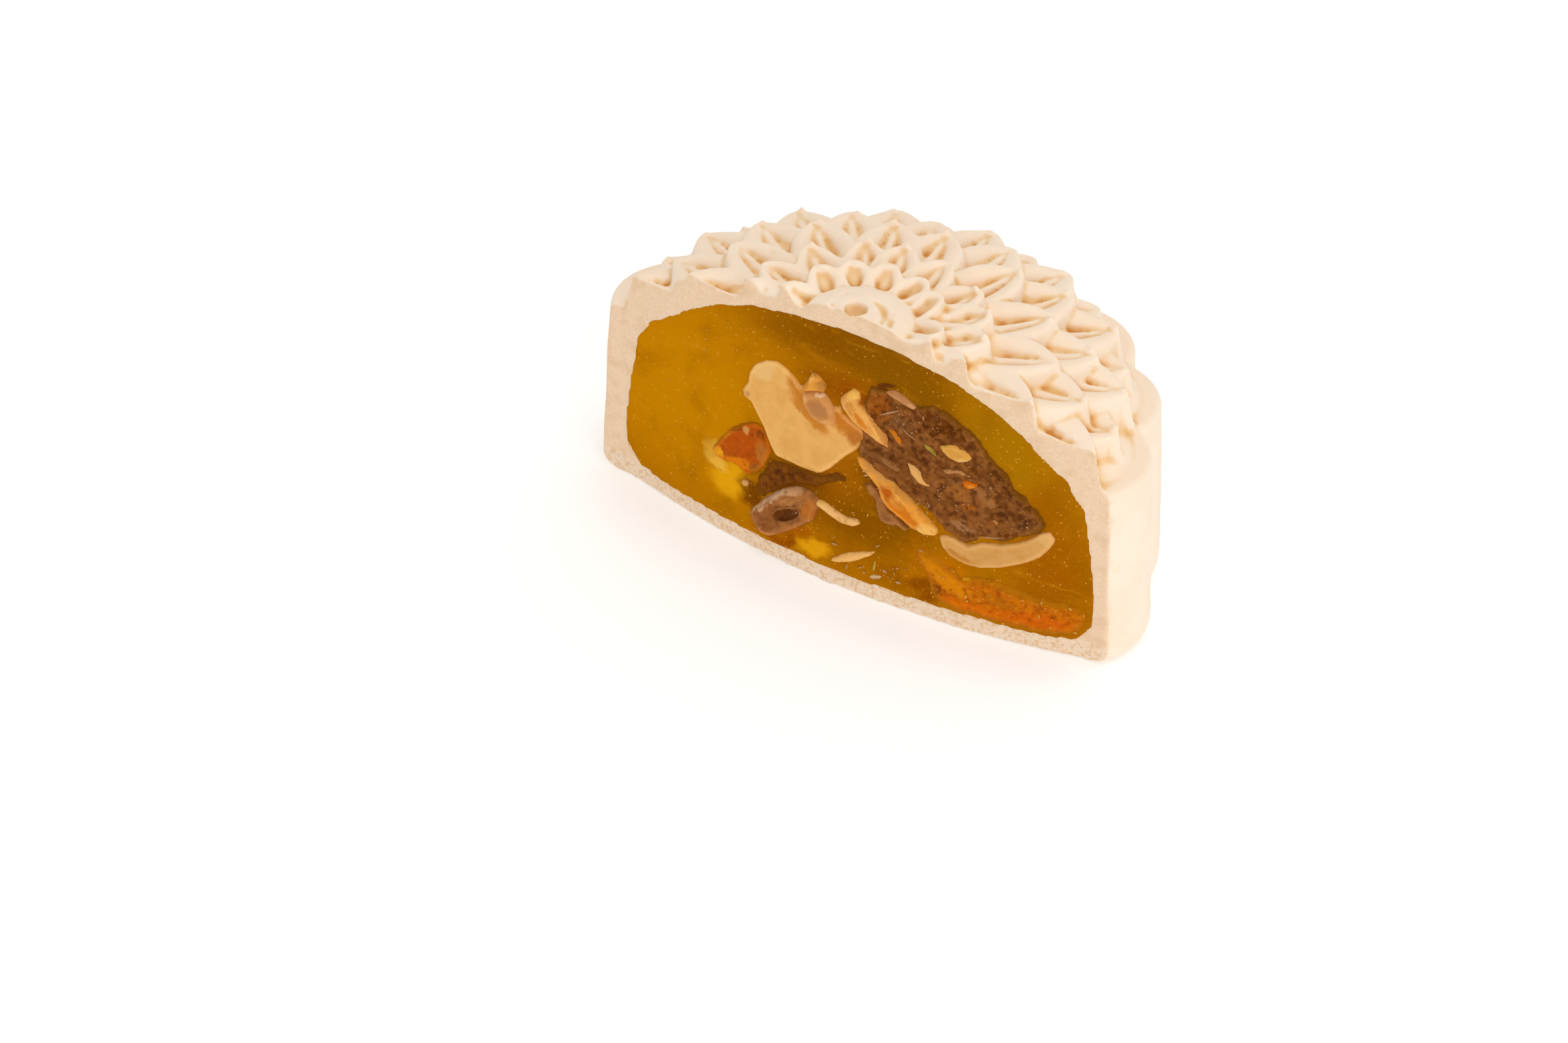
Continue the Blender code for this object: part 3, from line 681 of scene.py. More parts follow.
# What shows in the jelly on the cut. Outlines are x from the cake's axis and height, in mm.
# node: name, slot, depth, how far it stands out, times softened, relief and its size, outline
CUT_PIECES = {
    "nut_slice": ("nut_slice_cut", "pale_nut", 6.0, 0.25, 3, 0.16, 3.0, [
        (-15.4, 28.0), (-14.5, 29.6), (-12.8, 30.9), (-10.9, 31.5), (-9.2, 30.8), (-7.6, 29.8),
        (-6.7, 28.7),
        (-4.0, 28.4), (-2.1, 28.0), (-0.8, 28.6), (-0.4, 27.6), (1.0, 27.0), (3.0, 26.2), (4.6, 25.2),
        (3.2, 24.1),
        (1.8, 22.4), (0.1, 20.6), (-1.7, 18.1), (-3.3, 16.7), (-5.8, 16.5), (-8.2, 16.5), (-10.4, 16.6),
        (-11.5, 18.0), (-12.7, 20.3), (-14.0, 22.1), (-14.9, 23.3), (-16.1, 23.7), (-16.4, 24.8),
        (-15.5, 26.2)]),
    "cashew_slice": ("cashew_cut", "pale_nut", 6.0, 0.3, 3, 0.12, 4.0, [
        (14.8, 13.9), (15.4, 12.4), (16.6, 11.3), (18.9, 10.7), (21.0, 10.8), (23.9, 11.8), (27.2, 13.7),
        (29.2, 15.4), (30.4, 17.2), (31.1, 18.9), (30.2, 20.0), (29.0, 19.6), (27.0, 17.6), (25.4, 16.6),
        (23.6, 15.8), (21.1, 15.3), (19.1, 14.0), (16.9, 14.7), (15.4, 14.5)]),
    "almond_chip": ("almond_chip_cut", "brown_nut", 4.5, 0.75, 4, 0.2, 1.6, [
        (-7.0, 27.8), (-6.4, 28.8), (-4.0, 29.8), (-2.9, 29.3), (-1.5, 27.7), (-1.1, 26.3), (-1.6, 25.0),
        (-3.6, 24.5), (-5.2, 25.0), (-6.5, 26.4)]),
    "almond_upper": ("almond_upper_cut", "almond", 5.0, 0.95, 2, 0.22, 1.8, [
        (-1.2, 29.8), (0.0, 31.2), (0.9, 32.1), (1.9, 31.7), (2.3, 30.4), (4.0, 29.0), (5.7, 28.0),
        (6.6, 26.7),
        (7.0, 24.8), (5.3, 25.2), (2.7, 26.2), (0.9, 27.1), (-0.5, 28.4)]),
    "almond_lower": ("almond_lower_cut", "almond", 5.5, 1.05, 2, 0.26, 1.7, [
        (1.9, 22.0), (3.8, 22.2), (5.8, 21.4), (8.1, 20.3), (10.2, 19.1), (12.1, 17.3), (14.3, 15.6),
        (15.0, 14.6),
        (14.6, 13.8), (13.1, 13.5), (10.9, 14.0), (9.1, 14.9), (7.3, 15.8), (6.1, 16.9), (5.6, 18.4),
        (4.6, 19.3),
        (2.9, 20.3)]),
    "bran_sliver": ("bran_sliver_cut", "brown_nut", 4.0, 0.55, 2, 0.15, 1.2, [
        (5.0, 29.7), (6.4, 29.0), (8.3, 27.9), (9.4, 26.3), (8.8, 25.6), (7.6, 26.3), (6.4, 27.6)]),
    "melon_seed": ("melon_seed_cut", "seed", 4.0, 0.55, 4, 0.1, 2.0, [
        (13.5, 28.4), (14.8, 29.1), (17.0, 29.1), (18.5, 28.7), (19.0, 27.7), (18.4, 27.0), (17.1, 26.3),
        (15.4, 26.5), (14.2, 27.3)]),
    "pine_seed": ("pine_seed_cut", "seed", 4.0, 0.6, 4, 0.1, 1.6, [
        (9.3, 24.1), (10.6, 23.8), (12.4, 23.0), (13.7, 21.6), (13.0, 21.0), (11.5, 21.1), (10.1, 22.2)]),
    "orange_bit": ("orange_bit_cut", "candied_fruit", 3.5, 0.35, 2, 0.2, 0.9, [
        (17.2, 23.8), (18.6, 24.6), (20.0, 24.3), (20.0, 23.5), (18.7, 22.5), (17.8, 22.8)]),
    "round_nut": ("round_nut_cut", "brown_nut", 3.5, 0.35, 4, 0.1, 1.5, [
        (20.7, 18.4), (21.4, 19.6), (22.8, 19.9), (23.7, 19.0), (23.0, 17.7), (21.5, 17.3)]),
    "brown_sliver": ("brown_sliver_cut", "brown_nut", 4.0, 0.55, 2, 0.15, 1.1, [
        (5.1, 33.4), (6.8, 34.1), (8.3, 33.7), (10.4, 32.6), (9.9, 31.9), (7.9, 32.3), (5.9, 32.8)]),
    "mushroom_curl": ("mushroom_cut", "mushroom", 5.0, 1.0, 2, 0.4, 1.8, [
        (-14.2, 5.9), (-12.9, 7.8), (-11.6, 9.4), (-9.1, 12.0), (-6.6, 13.5), (-4.5, 13.8),
        (-3.0, 12.9), (-2.8, 11.5),
        (-3.5, 9.1), (-5.6, 7.2), (-7.8, 5.2), (-10.1, 3.6), (-11.6, 3.4), (-13.0, 4.4)]),
    "pale_strip": ("pale_strip_cut", "pale_nut", 4.0, 0.6, 3, 0.1, 1.2, [
        (-4.0, 12.6), (-2.4, 13.0), (-0.6, 12.3), (1.2, 11.8), (3.0, 12.2), (3.7, 11.5), (2.4, 10.5),
        (0.5, 10.4),
        (-1.5, 11.0), (-3.5, 11.7)]),
    "base_sliver": ("base_sliver_cut", "pale_nut", 3.5, 0.6, 2, 0.1, 1.2, [
        (-0.9, 3.7), (-0.3, 4.6), (1.7, 6.2), (4.3, 7.5), (6.4, 8.3), (5.4, 7.0), (3.0, 5.1), (0.8, 4.0)]),
    "amber_fruit": ("amber_fruit_cut", "candied_fruit", 6.0, 0.3, 2, 0.4, 1.6, [
        (-21.0, 13.0), (-19.7, 15.1), (-18.5, 17.1), (-16.1, 19.4), (-13.9, 20.7), (-12.3, 20.4),
        (-11.5, 18.8),
        (-10.8, 17.1), (-11.6, 14.9), (-12.8, 12.9), (-14.8, 11.5), (-16.6, 12.2), (-18.3, 12.0),
        (-20.0, 12.0)]),
    "candied_peel": ("candied_peel_cut", "candied_fruit", 6.0, 0.25, 2, 0.45, 1.3, [
        (11.4, 11.4), (14.2, 10.8), (16.6, 10.0), (18.6, 9.0), (20.6, 9.4), (23.4, 9.9), (26.6, 9.2),
        (30.2, 8.6),
        (33.0, 8.9), (35.8, 8.4), (36.0, 6.0), (34.6, 3.9), (30.5, 2.9), (26.1, 2.8), (21.6, 2.8),
        (18.0, 2.8),
        (15.7, 3.4), (14.4, 4.6), (13.8, 6.5), (12.2, 8.6)]),
    "fungus_shred": ("fungus_shred_cut", "fungus", 6.0, 0.2, 2, 0.5, 1.2, [
        (-13.4, 10.2), (-12.9, 12.1), (-12.1, 13.8), (-11.3, 15.9), (-9.6, 16.2), (-7.0, 16.3),
        (-4.4, 16.4),
        (-2.4, 17.3), (-0.6, 18.2), (0.6, 18.2), (1.6, 17.7), (0.3, 16.9), (-1.1, 16.0), (-3.0, 14.6),
        (-4.8, 14.2),
        (-6.8, 13.5), (-9.1, 11.8), (-10.8, 9.9), (-12.2, 9.0)]),
    "brown_fungus": ("brown_fungus_cut", "fungus", 7.0, 0.35, 2, 1.0, 2.4, [
        (2.0, 22.3), (2.5, 25.0), (2.7, 28.0), (2.9, 31.2), (3.2, 33.3), (5.0, 33.4), (6.8, 33.9),
        (9.0, 33.0),
        (10.6, 32.8), (12.4, 33.8), (14.4, 33.4), (16.2, 32.5), (18.0, 31.9), (20.2, 30.3), (20.9, 28.9),
        (22.2, 27.9), (24.0, 26.4), (25.3, 24.8), (27.2, 23.7), (28.5, 22.3), (29.6, 20.8), (28.4, 19.3),
        (26.6, 17.9), (24.4, 16.6), (21.3, 15.5), (18.4, 14.2), (15.6, 15.2), (13.6, 16.8), (11.0, 18.2),
        (8.3, 18.9), (5.0, 19.4)]),
}

# Pieces whose edges fade into the jelly: over how many mm, and the jelly's tone there
FADES = {
    "candied_peel_cut": (1.9, (172, 104, 2)), "fungus_shred_cut": (1.3, (112, 62, 3)),
    "brown_fungus_cut": (0.8, (116, 70, 6)), "amber_fruit_cut": (0.7, (160, 94, 3)),
    "mushroom_cut": (0.4, (130, 76, 6)), "taupe_shred": (0.6, (126, 80, 10)),
    "taupe_fold": (0.7, (104, 62, 22)),
    "beige_streak": (0.5, (128, 80, 40)), "nut_slice_cut": (0.5, (190, 126, 30)),
    "cashew_cut": (0.4, (176, 112, 24)),
}
FADE = (0.3, (150, 92, 8))

# Loose bits that lie on or between them: name, slot, depth, stand-out, softened, relief, size, outline
LOOSE_PIECES = [
    ("almond_splinter", "almond", 3.0, 0.95, 2, 0.2, 1.2, [
        (-7.9, 28.9), (-6.8, 29.4), (-6.2, 30.4), (-5.5, 32.3), (-4.1, 31.6), (-3.0, 30.6), (-3.4, 29.6),
        (-5.0, 29.1), (-6.4, 28.4)]),
    ("dark_peel_bit", "candied_fruit", 2.5, 0.5, 2, 0.2, 0.9, [
        (3.9, 33.7), (5.2, 34.5), (7.1, 34.9), (7.0, 34.3), (5.6, 33.7), (4.6, 33.2)]),
    ("green_seed", "seed", 2.5, 0.6, 3, 0.1, 1.0, [
        (11.0, 27.9), (12.5, 28.1), (13.5, 27.3), (14.4, 26.4), (13.5, 26.0), (11.9, 26.9)]),
    ("beige_streak", "brown_nut", 2.5, 0.6, 2, 0.3, 0.9, [
        (14.1, 24.4), (15.6, 25.3), (17.5, 25.9), (19.3, 25.3), (19.0, 24.6), (17.0, 24.6), (15.4, 24.0)]),
    ("taupe_shred", "mushroom", 3.0, 0.5, 2, 0.4, 1.0, [
        (3.4, 18.0), (4.6, 18.8), (6.4, 17.5), (7.6, 15.6), (9.5, 14.5), (11.0, 13.6), (10.1, 12.8),
        (8.7, 13.3),
        (7.4, 12.8), (6.2, 13.3), (5.6, 14.6), (5.2, 16.2), (4.2, 16.9)]),
    ("taupe_fold", "mushroom", 3.0, 0.6, 2, 0.35, 1.2, [
        (2.7, 22.6), (3.8, 24.0), (5.6, 24.2), (7.4, 23.4), (9.4, 22.6), (8.6, 21.4), (6.2, 22.0),
        (4.2, 22.4)]),
    ("bran_crumb", "brown_nut", 2.0, 0.5, 2, 0.2, 0.8, [
        (-15.9, 10.0), (-15.3, 10.8), (-14.3, 10.4), (-14.5, 9.6), (-15.3, 9.3)]),
    ("pale_fleck", "pale_nut", 2.0, 0.4, 2, 0.15, 0.8, [
        (5.1, 3.6), (5.9, 4.4), (7.4, 4.6), (7.2, 4.0), (6.0, 3.4)]),
    ("green_splinter", "seed", 2.0, 0.45, 2, 0.1, 0.8, [
        (5.6, 4.9), (5.8, 6.6), (6.3, 6.7), (6.4, 5.4), (6.1, 4.6)]),
]


def cut_piece(name, depth, out, soft, relief, size, outline):
    """A circle drawn out to the piece's outline, run back into the jelly, softened, laid on the cut and
    roughened, with its rim and hollows noted for its finish and painted shade.
    """
    pick()
    bpy.ops.mesh.primitive_circle_add(vertices=len(outline), radius=MM, fill_type="NGON")
    ob = new_from_primitive(name)
    edit(ob)
    move_each_point(ob, lambda co, i: (outline[i][0] * MM, 0.0, outline[i][1] * MM))
    bpy.ops.mesh.select_all(action="SELECT")
    bpy.ops.mesh.subdivide(number_cuts=1)
    bpy.ops.mesh.vertices_smooth(factor=0.35)
    bpy.ops.mesh.extrude_region_move(TRANSFORM_OT_translate={"value": (0, depth * MM, 0)})
    done()
    face_outwards(ob)
    remesh(ob, FILLING_VOXEL)
    soften(ob, soft)
    slope = max(FADES.get(name, FADE)[0] * 0.8, min(1.2, 0.4 + out * 0.6))
    lay_on_cut(ob, out * MM, outline, slope * MM)
    ruffle(ob, size * MM, relief * MM)
    ruffle(ob, size * 0.3 * MM, relief * 0.35 * MM)
    smooth_shading(ob)
    note_rim_and_shading(ob, outline)
    return ob


def note_rim_and_shading(ob, outline):
    """Notes how near its edge each point is, and where a piece is hollow, for painted shade in its hollows
    and a painted highlight on its crests.
    """
    point_values(ob, "rim", np.clip(distance_to(places(ob), outline) / RIM_REACH, 0, 1))
    point_values(ob, "cavity_shading", np.clip(hollowness(ob, 10) / PIECE_SHADE_DEPTH, -1, 1))


def distance_to(co, outline):
    """How far each point is from an outline on the cut, in metres."""
    best = np.full(len(co), 1.0)
    for p, q in zip(outline, outline[1:] + outline[:1]):
        p, q = np.array(p) * MM, np.array(q) * MM
        d = q - p
        t = np.clip(((co[:, 0] - p[0]) * d[0] + (co[:, 2] - p[1]) * d[1]) / (d @ d), 0, 1)
        best = np.minimum(best, np.hypot(co[:, 0] - p[0] - t * d[0], co[:, 2] - p[1] - t * d[1]))
    return best


def lay_on_cut(ob, out, outline, slope):
    """The face follows the cut and stands out in the middle; its edges sink a little into the jelly."""
    co = places(ob)
    share = np.clip(distance_to(co, outline) / slope, 0, 1)
    share = 1 - (1 - share) ** 2
    for v, part in zip(ob.data.vertices, share):
        v.co.y -= bulge(v.co.x, v.co.z) + out * part - EDGE_SINK * (1 - part)


def hollow_out(ob, x, z, wide, high, deep, tilt):
    """Sinks a rounded hollow into the face of a piece on the cut."""
    pick()
    bpy.ops.mesh.primitive_ico_sphere_add(subdivisions=4, radius=1.0)
    scoop = new_from_primitive("scoop")
    scoop.scale = (wide * MM, deep * MM, high * MM)
    scoop.rotation_euler = (0, math.radians(-tilt), 0)
    scoop.location = (x * MM, -bulge(x * MM, z * MM) - 0.9 * MM, z * MM)
    bpy.ops.object.transform_apply(location=True, rotation=True, scale=True)
    ruffle(scoop, 1.2 * MM, 0.35 * MM)
    cut_away(ob, scoop)
    discard(scoop)
    remesh(ob, FILLING_VOXEL)
    soften(ob, 2)
    smooth_shading(ob)


def inside(outline, x, z):
    """Whether a place on the cut lies within an outline."""
    found = False
    for (x0, z0), (x1, z1) in zip(outline, outline[1:] + outline[:1]):
        if (z0 > z) != (z1 > z) and x < (x1 - x0) * (z - z0) / (z1 - z0) + x0:
            found = not found
    return found


def crumbs(name, spots):
    """Many small irregular grains as one piece: one grain is modelled, the rest are copies of its mesh.
    spots is a list of place, size and turn."""
    pick()
    bpy.ops.mesh.primitive_ico_sphere_add(subdivisions=1, radius=1.0)
    grain = new_from_primitive(name)
    edit(grain)
    dice = random.Random(SEED + len(spots))
    move_each_point(grain, lambda co, i: co * dice.uniform(0.75, 1.2))
    done()
    copies = []
    for place, size, turn in spots:
        copy = bpy.data.objects.new(name, grain.data.copy())
        bpy.context.scene.collection.objects.link(copy)
        spin = Matrix.Rotation(turn, 4, Vector((math.cos(turn * 3), math.sin(turn * 5), 0.4)).normalized())
        long_side = 1 + abs(math.sin(turn * 7))
        copy.data.transform(Matrix.Translation(place) @ spin @ Matrix.Diagonal(
            (size * long_side, size * GRAIN_FLATNESS, size, 1.0)))
        copies.append(copy)
    discard(grain)
    return join(copies, name)


def grains_on(outline, count, low, high, out, dice):
    """Random places on the cut within an outline, with sizes from low to high, in mm."""
    spots = []
    xs, zs = [p[0] for p in outline], [p[1] for p in outline]
    while len(spots) < count:
        x, z = dice.uniform(min(xs), max(xs)), dice.uniform(min(zs), max(zs))
        if inside(outline, x, z):
            y = -bulge(x * MM, z * MM) - (out + dice.uniform(-0.15, 0.1)) * MM
            spots.append((Vector((x * MM, y, z * MM)), dice.uniform(low, high) ** 2 / high * MM,
                          dice.uniform(0, 6.28)))
    return spots


def thread(name, points, radius):
    """A frayed fibre on the cut, thin at both ends. points are x, stand-out and height, in mm."""
    curve = bpy.data.curves.new(name, "CURVE")
    curve.dimensions = "3D"
    curve.bevel_depth = radius * MM
    curve.bevel_resolution = 1
    spline = curve.splines.new("NURBS")
    spline.points.add(len(points) - 1)
    for i, (x, out, z) in enumerate(points):
        spline.points[i].co = (x * MM, -bulge(x * MM, z * MM) - out * MM, z * MM, 1.0)
        spline.points[i].radius = 0.4 + 0.8 * math.sin(math.pi * i / (len(points) - 1))
    spline.use_endpoint_u = True
    spline.order_u = 3
    curve.use_fill_caps = True
    ob = bpy.data.objects.new(name, curve)
    bpy.context.scene.collection.objects.link(ob)
    pick(ob)
    bpy.ops.object.convert(target="MESH")
    return bpy.context.object


# Finishes

class Finish:
    """A material and the nodes that it is being built from, in the object's own coordinates."""

    def __init__(self, name, roughness):
        self.material = bpy.data.materials.new(name)
        self.material.use_nodes = True
        self.nodes = self.material.node_tree.nodes
        self.links = self.material.node_tree.links
        self.shader = self.nodes["Principled BSDF"]
        self.shader.inputs["Roughness"].default_value = roughness
        self.place = self.nodes.new("ShaderNodeTexCoord").outputs["Object"]

    def link(self, value, socket):
        if isinstance(value, bpy.types.NodeSocket):
            self.links.new(value, socket)
        else:
            socket.default_value = value

    def mapped(self, location=(0, 0, 0), rotation=(0, 0, 0), scale=(1, 1, 1), place=None):
        node = self.nodes.new("ShaderNodeMapping")
        node.vector_type = "TEXTURE"
        self.links.new(place or self.place, node.inputs["Vector"])
        node.inputs["Location"].default_value = location
        node.inputs["Rotation"].default_value = rotation
        node.inputs["Scale"].default_value = scale
        return node.outputs["Vector"]

    def noise(self, size, detail=3.0, rough=0.5, stretch=(1, 1, 1), rotation=(0, 0, 0), place=None,
              distortion=0.0):
        """Noise whose features are about size metres wide."""
        node = self.nodes.new("ShaderNodeTexNoise")
        scale = tuple(size * s for s in stretch)
        self.links.new(self.mapped(rotation=rotation, scale=scale, place=place), node.inputs["Vector"])
        node.inputs["Scale"].default_value = 1.0
        node.inputs["Detail"].default_value = detail
        node.inputs["Roughness"].default_value = rough
        node.inputs["Distortion"].default_value = distortion
        return node.outputs["Fac"]

    def specks(self, size, place=None):
        node = self.nodes.new("ShaderNodeTexVoronoi")
        self.links.new(self.mapped(scale=(size, size, size), place=place), node.inputs["Vector"])
        node.inputs["Scale"].default_value = 1.0
        return node.outputs["Distance"]

    def band(self, value, low, high, to_low=0.0, to_high=1.0):
        node = self.nodes.new("ShaderNodeMapRange")
        node.interpolation_type = "SMOOTHSTEP"
        self.link(value, node.inputs["Value"])
        node.inputs["From Min"].default_value = low
        node.inputs["From Max"].default_value = high
        node.inputs["To Min"].default_value = to_low
        node.inputs["To Max"].default_value = to_high
        return node.outputs["Result"]

    def math(self, operation, a, b=0.0):
        node = self.nodes.new("ShaderNodeMath")
        node.operation = operation
        self.link(a, node.inputs[0])
        self.link(b, node.inputs[1])
        return node.outputs[0]

    def mix(self, factor, a, b):
        node = self.nodes.new("ShaderNodeMix")
        node.data_type = "RGBA"
        self.link(factor, node.inputs[0])
        self.link(a, node.inputs[6])
        self.link(b, node.inputs[7])
        return node.outputs[2]

    def kept(self, name):
        node = self.nodes.new("ShaderNodeAttribute")
        node.attribute_name = name
        return node.outputs["Fac"]

    def wandering(self, size, amount):
        """The object's coordinates, pushed about a little, so that painted spots have natural edges."""
        node = self.nodes.new("ShaderNodeTexNoise")
        self.links.new(self.mapped(scale=(size, size, size)), node.inputs["Vector"])
        node.inputs["Scale"].default_value = 1.0
        node.inputs["Detail"].default_value = 3.0
        push = self.nodes.new("ShaderNodeVectorMath")
        push.operation = "MULTIPLY_ADD"
        self.links.new(node.outputs["Color"], push.inputs[0])
        push.inputs[1].default_value = (amount * 2,) * 3
        self.links.new(self.place, push.inputs[2])
        back = self.nodes.new("ShaderNodeVectorMath")
        back.operation = "SUBTRACT"
        self.links.new(push.outputs[0], back.inputs[0])
        back.inputs[1].default_value = (amount,) * 3
        return back.outputs[0]

    def spot(self, x, z, wide, high, tilt=0.0, place=None, edge=(0.0, 1.0)):
        """1 in the middle of an ellipse on the cut, 0 outside it. Sizes in mm, x from the cake's axis."""
        node = self.nodes.new("ShaderNodeTexGradient")
        node.gradient_type = "SPHERICAL"
        where = self.mapped(location=(x * MM + AXIS.x, AXIS.y, z * MM),
                            rotation=(0, math.radians(-tilt), 0),
                            scale=(wide * MM, 1.0, high * MM), place=place)
        self.links.new(where, node.inputs["Vector"])
        return self.band(node.outputs["Fac"], *edge)

    def bump(self, height, strength, distance, below=None):
        node = self.nodes.new("ShaderNodeBump")
        node.inputs["Strength"].default_value = strength
        node.inputs["Distance"].default_value = distance
        self.links.new(height, node.inputs["Height"])
        if below:
            self.links.new(below, node.inputs["Normal"])
        return node.outputs["Normal"]

    def finish(self, colour, normal=None, **settings):
        self.link(colour, self.shader.inputs["Base Color"])
        if normal:
            self.links.new(normal, self.shader.inputs["Normal"])
        for key, value in settings.items():
            self.shader.inputs[key.replace("_", " ")].default_value = value
        return self.material


def dough_finish():
    f = Finish("pressed_dough", 0.6)
    height = f.nodes.new("ShaderNodeSeparateXYZ")
    f.links.new(f.place, height.inputs[0])
    colour = f.mix(f.band(f.noise(7 * MM), 0.35, 0.7), tone(248, 230, 210), tone(245, 225, 202))
    # Painted shade: faces that point up are tinted tan
    colour = f.mix(f.math("MULTIPLY", f.kept("upward_shade"), 0.45), colour, tone(244, 220, 194))
    colour = f.mix(f.band(f.noise(1.3 * MM, 5, 0.6), 0.55, 0.8, 0, 0.25), colour, tone(236, 205, 170))
    # Painted shade: creases turn warm yellow, and the deepest furrows among the petals turn orange-brown
    colour = f.mix(f.band(f.kept("cavity_shading"), 0.06, 0.6, 0, 0.8), colour, tone(234, 192, 130))
    among_petals = f.band(height.outputs["Z"], 27 * MM, 30 * MM)
    furrow_shade = f.math("MULTIPLY", f.band(f.kept("cavity_shading"), 0.5, 1.0, 0, 0.85), among_petals)
    colour = f.mix(furrow_shade, colour, tone(210, 138, 44))
    scuffs = f.math("MULTIPLY", f.band(f.noise(2.4 * MM, 4, 0.6, stretch=(1, 1, 2)), 0.6, 0.75),
                    f.band(f.noise(11 * MM, 2), 0.5, 0.65))
    colour = f.mix(f.math("MULTIPLY", scuffs, 0.5), colour, tone(236, 196, 130))
    # The cut shows fine crumb, pinkish beige, paler and more open under the jelly
    grain = f.noise(0.32 * MM, 4, 0.65)
    crumb = f.mix(f.band(grain, 0.3, 0.72), tone(240, 212, 182), tone(230, 198, 164))
    crumb = f.mix(f.band(f.noise(2.2 * MM, 3), 0.45, 0.7, 0, 0.45), crumb, tone(222, 186, 146))
    base = f.mix(f.band(f.noise(0.55 * MM, 5, 0.7), 0.46, 0.62), tone(238, 215, 190), tone(222, 187, 146))
    crumb = f.mix(f.band(height.outputs["Z"], 3.8 * MM, 2.6 * MM), crumb, base)
    soaked = f.math("MULTIPLY", f.kept("soaked"), f.band(f.noise(0.7 * MM, 5, 0.7), 0.3, 0.62))
    crumb = f.mix(f.band(soaked, 0.35, 0.9, 0, 0.8), crumb, tone(204, 140, 60))
    colour = f.mix(f.kept("cut"), colour, crumb)
    relief = f.math("MULTIPLY", grain, f.math("ADD", f.math("MULTIPLY", f.kept("cut"), 0.9), 0.1))
    normal = f.bump(f.noise(2.0 * MM, 3), 0.12, 0.4 * MM)
    normal = f.bump(relief, 0.5, 0.16 * MM, normal)
    f.shader.inputs["Subsurface Radius"].default_value = (1.0, 0.5, 0.22)
    return f.finish(colour, normal, Subsurface_Weight=0.2, Subsurface_Scale=0.8 * MM,
                    Specular_IOR_Level=0.12)


def jelly_finish():
    f = Finish("amber_jelly", 0.38)
    loose = f.wandering(3 * MM, 2.2 * MM)
    colour = tone(174, 108, 2)
    for x, z, wide, high, tilt, shade, edge in (
            (-28, 20, 30, 26, 0, (196, 127, 1), 0.8), (2, 38, 26, 7, 0, (136, 80, 2), 0.8),
            (10, 34, 14, 6, -25, (136, 84, 2), 0.8), (23, 31, 13, 6, -42, (166, 112, 3), 0.8),
            (29, 22, 5, 9, -20, (160, 94, 2), 0.8), (4, 13, 14, 9, 0, (138, 82, 1), 0.7),
            (-2, 20, 9, 9, 0, (160, 92, 4), 0.8), (31, 12, 9, 14, 0, (160, 90, 1), 0.8),
            (0, 31, 12, 4, 0, (152, 80, 4), 0.9), (9, 5, 6, 3, 0, (156, 92, 1), 0.8),
            (-17.8, 9.4, 5, 3.6, 35, (226, 160, 14), 0.6), (-20.5, 12, 2, 3, 35, (232, 176, 60), 0.6),
            (-14.0, 9.0, 2.6, 4, 30, (120, 66, 3), 0.8), (-11, 4.0, 4.0, 1.6, 10, (176, 100, 3), 0.8),
            (-8.2, 3.8, 3.5, 1.8, 15, (150, 76, 2), 0.8), (-3.6, 4.4, 4.2, 2.0, 20, (224, 156, 14), 0.6),
            (-5.6, 6.4, 3.2, 1.4, 30, (176, 96, 4), 0.8), (6, 20, 5, 4, 0, (116, 64, 2), 0.8),
            (-8, 14.6, 9, 5, 10, (108, 56, 2), 0.8), (16, 8, 7, 4.5, -20, (196, 112, 2), 0.8),
            (13.5, 5, 3, 3, 0, (140, 74, 2), 0.8)):
        colour = f.mix(f.spot(x, z, wide, high, tilt, place=loose, edge=(0.0, edge)), colour, tone(*shade))
    colour = f.mix(f.band(f.noise(5 * MM, 4), 0.45, 0.75, 0, 0.35), colour, tone(140, 86, 3))
    # Streaks run through it where it was stirred
    streaks = f.noise(2.5 * MM, 4, 0.6, stretch=(3, 1, 0.8), distortion=0.6)
    colour = f.mix(f.band(streaks, 0.55, 0.8, 0, 0.35), colour, tone(206, 140, 22))
    # Golden specks and a fine bright grain, partly the jelly's own specks and partly painted glints
    colour = f.mix(f.band(f.specks(0.95 * MM), 0.17, 0.06, 0, 0.7), colour, tone(226, 168, 64))
    colour = f.mix(f.band(f.noise(0.26 * MM, 2), 0.56, 0.8, 0, 0.35), colour, tone(216, 152, 40))
    normal = f.bump(f.noise(3.5 * MM, 3), 0.2, 0.5 * MM)
    normal = f.bump(f.noise(0.35 * MM, 3, 0.6), 0.4, 0.10 * MM, normal)
    f.shader.inputs["Subsurface Radius"].default_value = (1.0, 0.5, 0.05)
    return f.finish(colour, normal, Subsurface_Weight=0.05, Subsurface_Scale=1.0 * MM,
                    Specular_IOR_Level=0.0)


